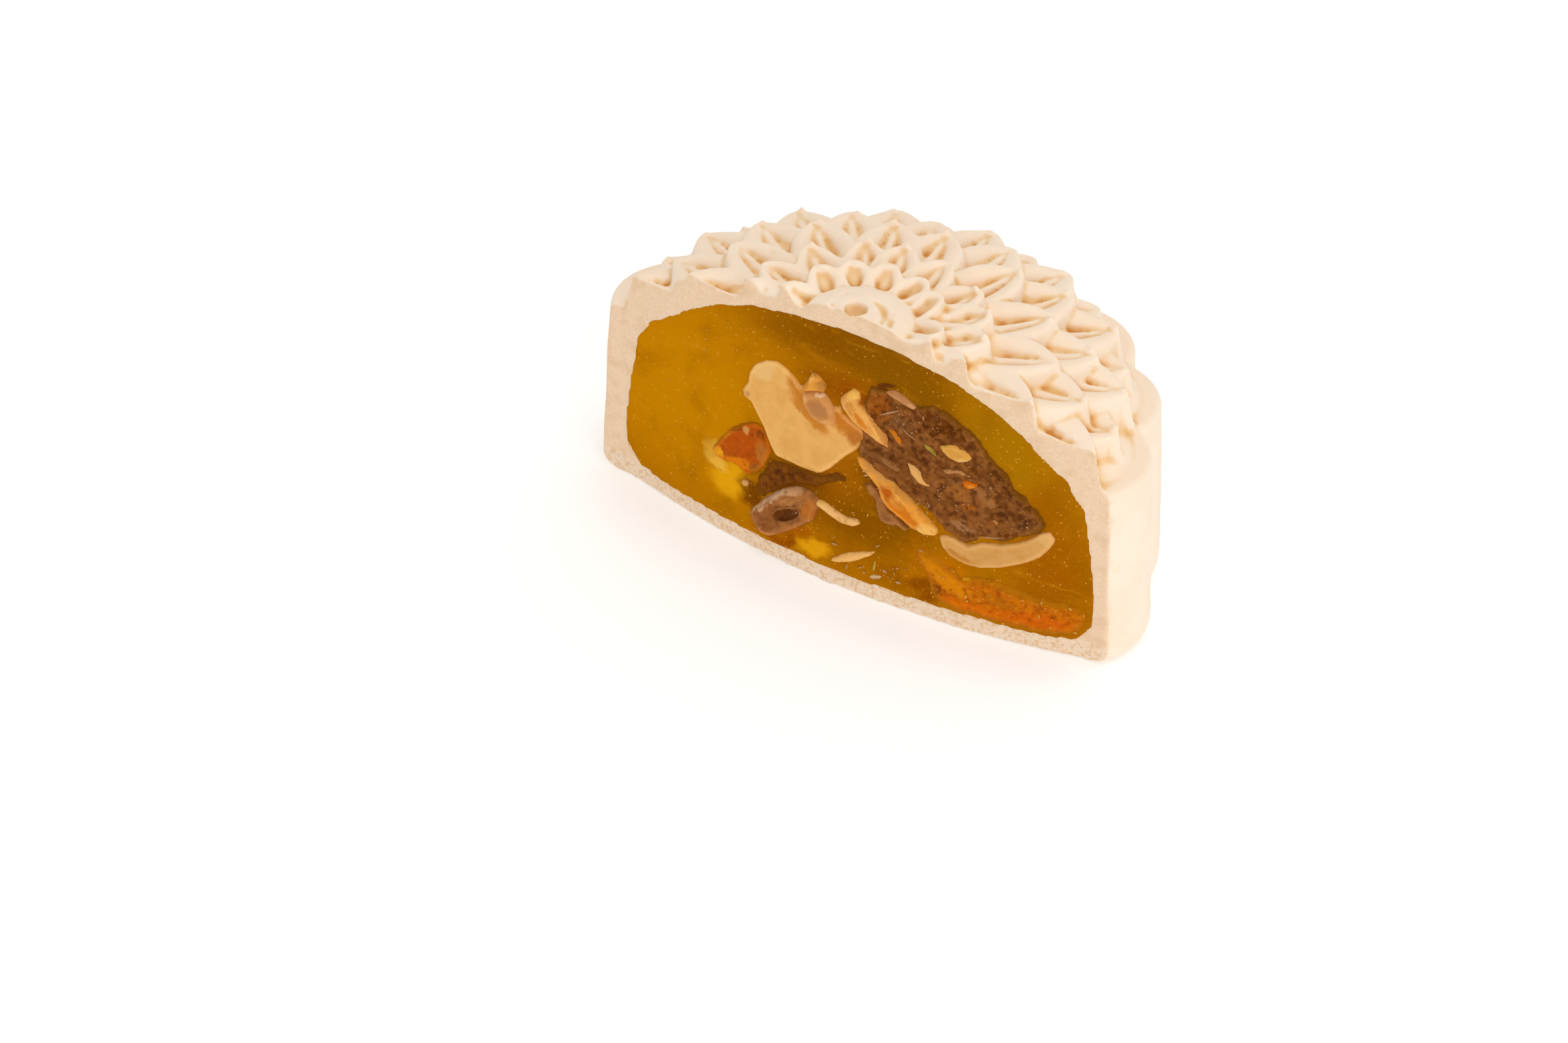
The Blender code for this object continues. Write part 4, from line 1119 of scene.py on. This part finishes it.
def piece_finish(name, pale, deep, dark=None, patches=(), grain=0.5, frost_and_glints=0.0, fibre=None):
    """Cut nut, seed, fruit or fungus: two tones in soft clouds, fine grain, and patches where they show.
    frost is the share of whitish crystals on it, partly real crystals and partly painted glints; fibre is
    the tilt of its strands."""
    f = Finish(name, 0.45)
    loose = f.wandering(1.1 * MM, 0.9 * MM)
    colour = f.mix(f.band(f.noise(2.6 * MM, 4, 0.6), 0.35, 0.68), tone(*pale), tone(*deep))
    if dark:
        colour = f.mix(f.band(f.noise(1.0 * MM, 5, 0.65), 0.48, 0.7, 0, 0.85), colour, tone(*dark))
    for x, z, wide, high, tilt, shade in patches:
        colour = f.mix(f.spot(x, z, wide, high, tilt, place=loose, edge=(0.0, 0.5)), colour, tone(*shade))
    if fibre is not None:
        strands = f.noise(0.35 * MM, 4, 0.6, stretch=(7, 2, 1), rotation=(0, math.radians(-fibre), 0))
        colour = f.mix(f.band(strands, 0.4, 0.7, 0, 0.45), colour, tone(*(int(c * 0.78) for c in deep)))
    light = (min(255, pale[0] + 28), min(255, pale[1] + 26), int(pale[2] * 1.25) + 2)
    colour = f.mix(f.band(f.noise(0.24 * MM, 3), 0.55, 0.8, 0, 0.3), colour, tone(*light))
    # Painted highlight on the crests of the fungus's folds and painted shade in their troughs
    if frost_and_glints > 0.7:
        fold_light_and_shade = f.noise(1.5 * MM, 4, 0.6, stretch=(2.2, 1, 0.8), rotation=(0, math.radians(38), 0),
                        distortion=0.5)
        colour = f.mix(f.band(fold_light_and_shade, 0.56, 0.68, 0, 0.55), colour, tone(156, 100, 54))
        colour = f.mix(f.band(fold_light_and_shade, 0.44, 0.34, 0, 0.6), colour, tone(*dark))
    # Whitish crystals, partly real sugar and partly painted glints
    if frost_and_glints:
        crystals_and_glints = f.math("MULTIPLY", f.band(f.specks(0.42 * MM, place=loose), 0.30, 0.12),
                          f.band(f.noise(1.6 * MM, 3, 0.6), 0.62 - frost_and_glints * 0.25, 0.74 - frost_and_glints * 0.2))
        colour = f.mix(f.math("MULTIPLY", crystals_and_glints, 0.5), colour, tone(198, 152, 100))
    # Painted shade darkens the hollows and a painted highlight lightens the crests
    hollow_shade_tone = dark or tuple(int(c * 0.7) for c in deep)
    colour = f.mix(f.band(f.kept("cavity_shading"), 0.05, 0.9, 0, 0.7), colour, tone(*hollow_shade_tone))
    colour = f.mix(f.band(f.kept("cavity_shading"), -0.1, -0.9, 0, 0.35), colour, tone(*light))
    reach, stain = FADES.get(name, FADE)
    ragged = f.math("MULTIPLY", f.math("SUBTRACT", f.noise(0.8 * MM, 5, 0.7), 0.5), 0.25 + reach * 0.4)
    rim = f.math("ADD", f.kept("rim"), ragged)
    colour = f.mix(f.band(rim, reach * 0.42, 0.02, 0, 0.55 if reach < 0.6 else 0.95), colour, tone(*stain))
    height = strands if fibre is not None else f.noise(0.4 * MM, 4, 0.6)
    normal = f.bump(f.noise(1.3 * MM, 3), grain * 0.7, 0.4 * MM)
    normal = f.bump(height, grain, 0.14 * MM, normal)
    f.shader.inputs["Subsurface Radius"].default_value = (1.0, 0.55, 0.2)
    return f.finish(colour, normal, Subsurface_Weight=0.1, Subsurface_Scale=0.8 * MM,
                    Specular_IOR_Level=0.03)


# name: pale, deep and dark tone, patches (x, z, width, height, tilt, tone), grain, frost with its painted
# glints, fibre
FINISHES = {
    "nut_slice_cut": ((230, 174, 97), (221, 163, 86), None, [
        (-6.9, 28.6, 2.2, 3.6, 30, (196, 122, 36)), (-5.4, 25.4, 4.6, 1.4, -30, (200, 126, 40)),
        (0.4, 26.4, 4.2, 2.6, -20, (198, 118, 34)), (2.6, 24.4, 2.8, 2.0, 0, (186, 112, 40)),
        (-13.2, 29.4, 3.0, 2.2, 30, (230, 182, 112)), (-15.8, 23.9, 1.2, 1.6, 0, (192, 136, 80)),
        (-6, 16.7, 5.5, 0.7, 0, (196, 138, 62))], 0.35, 0.1, None),
    "cashew_cut": ((211, 157, 89), (203, 147, 77), None, [
        (17.4, 11.6, 3.6, 1.2, -10, (190, 126, 52)),
        (30, 18.8, 1.6, 1.6, 0, (216, 166, 100))], 0.25, 0.0, None),
    # In almond_chip_cut the small near-white patch at x -4.0, height 29.2 is a painted glint
    "almond_chip_cut": ((200, 138, 76), (184, 116, 58), None, [
        (-3.9, 27.1, 2.0, 1.6, 0, (182, 122, 70)), (-4.0, 29.2, 0.9, 0.4, 0, (226, 196, 160)),
        (-2.0, 25.2, 1.4, 1.0, 0, (212, 150, 80)),
        (-6.3, 27.4, 0.7, 1.6, 10, (220, 162, 92))], 0.4, 0.25, None),
    "almond_upper_cut": ((226, 164, 82), (214, 142, 58), None, [
        (2.8, 27.7, 2.4, 0.7, -50, (218, 126, 30)), (5.3, 27.5, 3.4, 0.55, -52, (172, 80, 6)),
        (3.0, 29.9, 2.4, 0.5, -45, (184, 92, 10)), (1.0, 31.6, 1.3, 1.0, 30, (240, 186, 80)),
        (-0.4, 29.4, 1.2, 1.2, 0, (210, 142, 78))], 0.45, 0.1, -50),
    "almond_lower_cut": ((226, 154, 62), (214, 130, 34), None, [
        (9.2, 16.0, 3.8, 1.2, -28, (214, 112, 6)), (11.4, 16.0, 3.0, 0.9, -35, (212, 118, 16)),
        (13.7, 14.5, 2.0, 1.3, -20, (236, 186, 100)), (7.6, 15.7, 2.4, 0.5, -35, (234, 176, 100)),
        (5.6, 21.3, 4.2, 1.0, -25, (182, 124, 72)), (9.6, 19.2, 2.6, 1.0, -35, (178, 112, 50)),
        (7.4, 18.7, 1.2, 1.6, 20, (186, 84, 4)),
        (3.4, 20.6, 2.2, 0.6, -25, (200, 146, 92))], 0.5, 0.45, -32),
    "bran_sliver_cut": ((186, 112, 28), (164, 90, 10), (122, 62, 6), [
        (7.9, 27.3, 2.6, 0.4, -50, (204, 98, 4)),
        (5.8, 29.0, 1.2, 0.5, -30, (190, 132, 72))], 0.5, 0.1, -48),
    "melon_seed_cut": ((212, 152, 68), (198, 134, 52), None, [
        (14.3, 28.7, 1.6, 0.7, 10, (160, 130, 24)), (17.8, 27.0, 1.6, 0.9, 0, (218, 168, 96)),
        (15.0, 26.8, 1.6, 0.5, -10, (170, 108, 36))], 0.3, 0.1, None),
    "pine_seed_cut": ((218, 164, 94), (206, 146, 72), None, [
        (13.4, 21.3, 0.9, 0.7, 0, (208, 128, 24)),
        (11.6, 21.3, 2.2, 0.4, -30, (178, 114, 46))], 0.3, 0.0, None),
    "orange_bit_cut": ((204, 100, 6), (180, 76, 2), None, [
        (19.2, 23.3, 0.9, 0.5, 0, (222, 136, 50))], 0.5, 0.15, None),
    "round_nut_cut": ((178, 112, 54), (160, 96, 40), None, [
        (22.2, 19.3, 1.3, 0.5, 0, (152, 94, 48))], 0.3, 0.1, None),
    "brown_sliver_cut": ((190, 132, 80), (162, 104, 54), None, [
        (6.4, 33.6, 1.6, 0.6, 0, (178, 112, 60)),
        (9.6, 32.4, 1.2, 0.5, 0, (204, 150, 96))], 0.4, 0.2, -20),
    # In mushroom_cut the two darkest patches are painted shade in its hollow, and the three pale patches
    # along its upper rim are painted highlights
    "mushroom_cut": ((166, 104, 54), (144, 84, 38), (116, 62, 22), [
        (-7.4, 8.9, 3.3, 1.9, 33, (106, 56, 18)), (-8.2, 8.3, 1.8, 1.1, 30, (82, 38, 8)),
        (-6.2, 9.8, 1.4, 0.8, 10, (150, 96, 48)), (-12.2, 8.2, 2.6, 0.9, 50, (208, 164, 120)),
        (-10.0, 10.9, 3.4, 0.9, 45, (212, 172, 134)), (-7.0, 12.9, 2.2, 0.8, 20, (206, 156, 110)),
        (-10.4, 4.3, 3.6, 0.6, 14, (196, 134, 70)), (-6.6, 6.9, 2.4, 0.5, 42, (180, 112, 52)),
        (-4.2, 10.8, 1.3, 2.6, -10, (184, 106, 34)),
        (-7.2, 11.2, 2.6, 0.7, 30, (176, 116, 62))], 0.6, 0.35, 40),
    "pale_strip_cut": ((228, 176, 104), (216, 156, 76), None, [
        (-2.5, 12.8, 1.0, 0.5, 0, (202, 154, 30)),
        (1.4, 10.9, 2.4, 0.4, -12, (192, 128, 44))], 0.3, 0.0, None),
    "base_sliver_cut": ((230, 176, 98), (218, 158, 78), None, [
        (2.6, 5.0, 3.2, 0.4, 28, (200, 138, 54))], 0.3, 0.0, None),
    "amber_fruit_cut": ((190, 88, 2), (170, 72, 1), (142, 58, 2), [
        (-16.2, 16.2, 3.2, 2.4, 35, (180, 78, 1)), (-16.4, 13.0, 3.4, 1.1, 10, (216, 120, 4)),
        (-12.4, 15.8, 1.3, 2.6, 10, (178, 106, 34)), (-15.3, 18.7, 0.8, 0.7, 0, (206, 142, 74)),
        (-20.0, 13.2, 1.4, 1.4, 30, (230, 160, 30)), (-18.6, 16.4, 3.6, 0.4, 50, (208, 130, 20)),
        (-16.6, 19.0, 3.4, 0.8, 42, (96, 44, 2)), (-12.4, 19.2, 1.6, 1.0, 20, (132, 62, 6)),
        (-13.0, 13.2, 1.6, 1.2, 0, (150, 88, 24))], 0.5, 0.3, None),
    "candied_peel_cut": ((204, 112, 1), (186, 94, 1), (152, 70, 1), [
        (29, 9.2, 9, 1.9, 0, (174, 102, 2)), (20, 4.0, 9, 1.2, -2, (210, 102, 1)),
        (30, 4.8, 8, 1.6, 2, (204, 94, 1)),
        (14.2, 9.4, 2.4, 1.6, -20, (204, 124, 3)), (17.2, 7.2, 4.0, 1.8, -20, (212, 128, 2)),
        (19.3, 8.6, 0.7, 0.5, 0, (246, 196, 20)), (15.2, 5.4, 1.6, 1.6, 0, (138, 66, 1)),
        (24, 6.6, 4, 1.0, -10, (182, 102, 1))], 0.9, 0.25, None),
    "fungus_shred_cut": ((116, 62, 8), (96, 48, 3), (72, 34, 2), [
        (-3, 16.4, 2.6, 0.7, 10, (124, 70, 14)),
        (-11.8, 11.6, 1.2, 1.6, 0, (124, 66, 8))], 0.8, 0.25, None),
    "brown_fungus_cut": ((142, 84, 36), (116, 64, 20), (88, 44, 8), [
        (14.6, 31.6, 6.5, 2.2, -12, (104, 52, 6)), (24.5, 25.0, 5.0, 1.2, -45, (92, 46, 8)),
        (5.0, 31.0, 2.6, 2.6, 0, (150, 78, 10)), (6.0, 23.2, 4.6, 1.4, 0, (112, 62, 24)),
        (20.5, 18.6, 7.5, 2.6, 0, (134, 78, 32)), (15.4, 18.6, 3.4, 1.6, 0, (128, 72, 28)),
        (17.4, 22.0, 2.4, 1.4, 0, (152, 90, 34)), (18.6, 20.2, 1.5, 0.7, 0, (164, 86, 12)),
        (26.0, 20.6, 2.4, 2.0, 30, (104, 58, 20)), (8.5, 29.5, 2.4, 1.2, -30, (126, 78, 40)),
        (11.5, 25.6, 2.4, 1.0, -50, (98, 50, 12)), (24.0, 16.9, 5.0, 0.6, 28, (110, 54, 12)),
        (21.0, 22.6, 3.0, 0.8, -30, (158, 100, 52)), (13.0, 29.8, 3.6, 0.7, -30, (96, 48, 6)),
        (18.4, 16.6, 2.4, 0.7, -20, (160, 108, 66)),
        (23.4, 21.0, 1.2, 1.2, 0, (90, 44, 10))], 1.0, 0.75, None),
    "almond_splinter": ((222, 150, 60), (206, 126, 38), None, [
        (-5.7, 31.2, 0.7, 1.2, 0, (234, 188, 108)), (-5.4, 32.1, 0.8, 0.6, 0, (104, 60, 20)),
        (-3.6, 30.6, 1.2, 0.8, 0, (150, 92, 40)),
        (-7.4, 29.0, 1.0, 0.4, 0, (226, 184, 122))], 0.5, 0.2, 60),
    "dark_peel_bit": ((96, 44, 10), (76, 32, 6), None, [], 0.5, 0.0, None),
    "green_seed": ((150, 122, 46), (128, 98, 34), (104, 70, 28), [
        (12.4, 27.6, 1.4, 0.4, -30, (172, 148, 62))], 0.4, 0.2, -30),
    "beige_streak": ((180, 122, 72), (158, 100, 54), None, [], 0.5, 0.6, None),
    "taupe_shred": ((160, 104, 56), (142, 86, 42), (118, 68, 28), [], 0.6, 0.4, None),
    "taupe_fold": ((122, 72, 34), (104, 60, 26), (84, 46, 16), [
        (7.6, 22.8, 2.2, 0.7, -20, (150, 100, 58))], 0.6, 0.5, None),
    "bran_crumb": ((206, 152, 88), (186, 126, 62), None, [], 0.4, 0.2, None),
    "pale_fleck": ((204, 170, 122), (184, 146, 96), None, [], 0.4, 0.3, None),
    "green_splinter": ((178, 150, 60), (154, 124, 40), None, [], 0.3, 0.0, None),
}


def crystal_finish(name, colour):
    f = Finish(name, 0.4)
    shade = f.mix(f.noise(0.6 * MM), tone(*colour), tone(*(int(c * 0.85) for c in colour)))
    return f.finish(shade, f.bump(f.noise(0.2 * MM), 0.3, 0.05 * MM), Specular_IOR_Level=0.1)


def make_filling():
    pieces = []
    for node, (name, slot, *form, outline) in CUT_PIECES.items():
        pieces.append((cut_piece(name, *form, outline), node, slot))
    for name, slot, *form, outline in LOOSE_PIECES:
        pieces.append((cut_piece(name, *form, outline), None, slot))
    mushroom = bpy.data.objects["mushroom_cut"]
    hollow_out(mushroom, *MUSHROOM_HOLLOW)
    note_rim_and_shading(mushroom, CUT_PIECES["mushroom_curl"][-1])
    for ob, _, _ in pieces:
        ob.data.materials.clear()
        ob.data.materials.append(piece_finish(ob.name, *FINISHES[ob.name]))
    return pieces


def make_grains():
    """Sugar crystals on the fungus, partly real crystals and partly painted glints; golden specks in the
    jelly, partly painted glints; bits of nut in the jelly and frayed fibres.
    """
    dice = random.Random(SEED)
    fungus = CUT_PIECES["brown_fungus"][-1]
    spots = []
    # Pale sugar crystals, partly real crystals and partly painted glints
    for x, z, spread, count in ((8, 30, 1.6, 22), (12, 30, 3, 26), (20, 25, 3, 26), (17, 21, 3, 30),
                                (21, 17.5, 3, 34), (27, 20, 1.6, 16), (13, 18.5, 2, 20),
                                (6, 22.5, 1.6, 14)):
        corners = [(x + spread * math.cos(a), z + spread * 0.7 * math.sin(a)) for a in (0, 1, 2, 3, 4, 5)]
        spots += [spot for spot in grains_on(corners, count, 0.04, 0.15, 0.4, dice)
                  if inside(fungus, spot[0].x / MM, spot[0].z / MM)]
    spots += grains_on(CUT_PIECES["almond_lower"][-1], 40, 0.05, 0.14, 1.1, dice)
    spots += grains_on(CUT_PIECES["mushroom_curl"][-1], 40, 0.05, 0.12, 0.82, dice)
    frost_and_glints = crumbs("sugar_frost_and_glints", spots)
    frost_and_glints.data.materials.append(crystal_finish("sugar_frost_and_glints", (206, 162, 112)))
    # Golden specks in the jelly and on the peel, partly real specks and partly painted glints
    within_jelly = [(x * 0.93, 3 + (z - 3) * 0.95) for x, z in jelly_outline()]
    spots = grains_on(within_jelly, 150, 0.04, 0.15, 0.0, dice)
    spots += grains_on(CUT_PIECES["candied_peel"][-1], 70, 0.05, 0.2, 0.3, dice)
    gold = crumbs("golden_sparkle_grains", spots)
    gold.data.materials.append(crystal_finish("golden_sparkle_grains", (226, 168, 70)))
    bits = [(6.3, 9.1), (1.9, 3.9), (6.7, 4.1), (8.8, 6.3), (9.7, 4.4), (2.2, 12.8), (12.6, 10.7),
            (-0.2, 6.7), (3.9, 4.6), (10.5, 6.9), (8.2, 4.7), (9.0, 5.6), (7.6, 5.4), (4.6, 4.0),
            (9.4, 6.6)]
    spots = [(Vector((x * MM, -bulge(x * MM, z * MM) - 0.05 * MM, z * MM)), dice.uniform(0.16, 0.36) * MM,
              dice.uniform(0, 6.28)) for x, z in bits]
    taupe = crumbs("nut_bits", spots)
    taupe.data.materials.append(crystal_finish("nut_bits", (196, 142, 84)))
    fibres = [thread(f"fibre_{i}", points, radius) for i, (points, radius) in enumerate((
        ([(5.5, 0.9, 30.1), (6.4, 1.1, 30.8), (7.4, 0.9, 31.3), (8.2, 1.1, 31.9)], 0.11),
        ([(8.9, 0.9, 29.2), (9.7, 1.1, 28.9), (10.8, 0.9, 28.2)], 0.08),
        ([(20.9, 0.7, 16.2), (21.9, 0.9, 16.9), (23.2, 0.8, 17.0), (24.2, 0.9, 17.6)], 0.07)))]
    fibres = join(fibres, "white_fibres")
    fibres.data.materials.clear()
    fibres.data.materials.append(crystal_finish("white_fibres", (192, 148, 106)))
    smooth_shading(fibres)
    return [(frost_and_glints, None, "fungus"), (gold, None, "jelly"), (taupe, None, "pale_nut"),
            (fibres, None, "fungus")]


def jelly_outline():
    return JELLY + [(-r, z) for r, z in reversed(JELLY[:-1])]


# Stage

def make_floor():
    pick()
    bpy.ops.mesh.primitive_plane_add(size=3.0, location=(0, 0, -0.02 * MM))
    floor = new_from_primitive("floor")
    bpy.ops.object.transform_apply(location=True)
    f = Finish("pale_floor", 0.9)
    f.shader.inputs["Emission Color"].default_value = (1, 1, 1, 1)
    shade = f.mix(f.noise(0.2), (0.93, 0.93, 0.93, 1), (0.92, 0.92, 0.92, 1))
    floor.data.materials.append(f.finish(shade, Emission_Strength=0.2))


def area_light(name, place, size, power, colour):
    data = bpy.data.lights.new(name, "AREA")
    data.size, data.energy, data.color = size, power, colour
    ob = bpy.data.objects.new(name, data)
    bpy.context.scene.collection.objects.link(ob)
    ob.location = place
    ob.rotation_euler = (Vector(LIGHT_TARGET) - Vector(place)).to_track_quat("-Z", "Y").to_euler()


def make_light():
    world = bpy.data.worlds.new("studio")
    bpy.context.scene.world = world
    world.use_nodes = True
    background = world.node_tree.nodes["Background"]
    background.inputs["Color"].default_value = (1.0, 0.99, 0.97, 1)
    background.inputs["Strength"].default_value = 0.76
    area_light("key", (0.37, -0.31, 0.19), 0.24, 0.44, (1.0, 0.98, 0.95))
    area_light("top", (0.10, 0.02, 0.50), 0.24, 0.44, (1.0, 1.0, 0.99))


def make_camera():
    level = math.cos(CAMERA_ELEVATION)
    back = Vector((math.sin(CAMERA_AZIMUTH) * level, -math.cos(CAMERA_AZIMUTH) * level,
                   math.sin(CAMERA_ELEVATION)))
    right = (-back).cross(Vector((0, 0, 1))).normalized()
    up = right.cross(-back)
    turned_right = math.cos(CAMERA_ROLL) * right + math.sin(CAMERA_ROLL) * up
    turned_up = -math.sin(CAMERA_ROLL) * right + math.cos(CAMERA_ROLL) * up
    place = (CAMERA_TARGET + back * CAMERA_DISTANCE) * GROOVE_RADIUS + AXIS - Vector((0, 0, CAMERA_DROP))
    data = bpy.data.cameras.new("camera")
    data.sensor_width = SENSOR_WIDTH
    data.lens = FOCAL_PIXELS / PHOTO_WIDTH * SENSOR_WIDTH
    data.clip_start = 0.01
    camera = bpy.data.objects.new("camera", data)
    bpy.context.scene.collection.objects.link(camera)
    camera.matrix_world = Matrix((
        (turned_right.x, turned_up.x, back.x, place.x),
        (turned_right.y, turned_up.y, back.y, place.y),
        (turned_right.z, turned_up.z, back.z, place.z),
        (0, 0, 0, 1)))
    bpy.context.scene.camera = camera


def settle(ob, node, slot):
    """Moves a finished piece from the cake's axis to its place on the part."""
    pick(ob)
    ob.location = AXIS
    bpy.ops.object.transform_apply(location=True)
    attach(ob, "root")
    if node:
        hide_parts(node)


def main():
    blade = knife()
    skin = make_skin(blade)
    skin.data.materials.clear()
    skin.data.materials.append(dough_finish())
    jelly = make_jelly(blade)
    jelly.data.materials.clear()
    jelly.data.materials.append(jelly_finish())
    discard(blade)
    for piece in [(skin, "skin", "skin"), (jelly, "jelly", "jelly")] + make_filling() + make_grains():
        settle(*piece)
    make_floor()
    make_light()
    make_camera()
    bpy.context.scene.view_settings.view_transform = "Standard"


main()
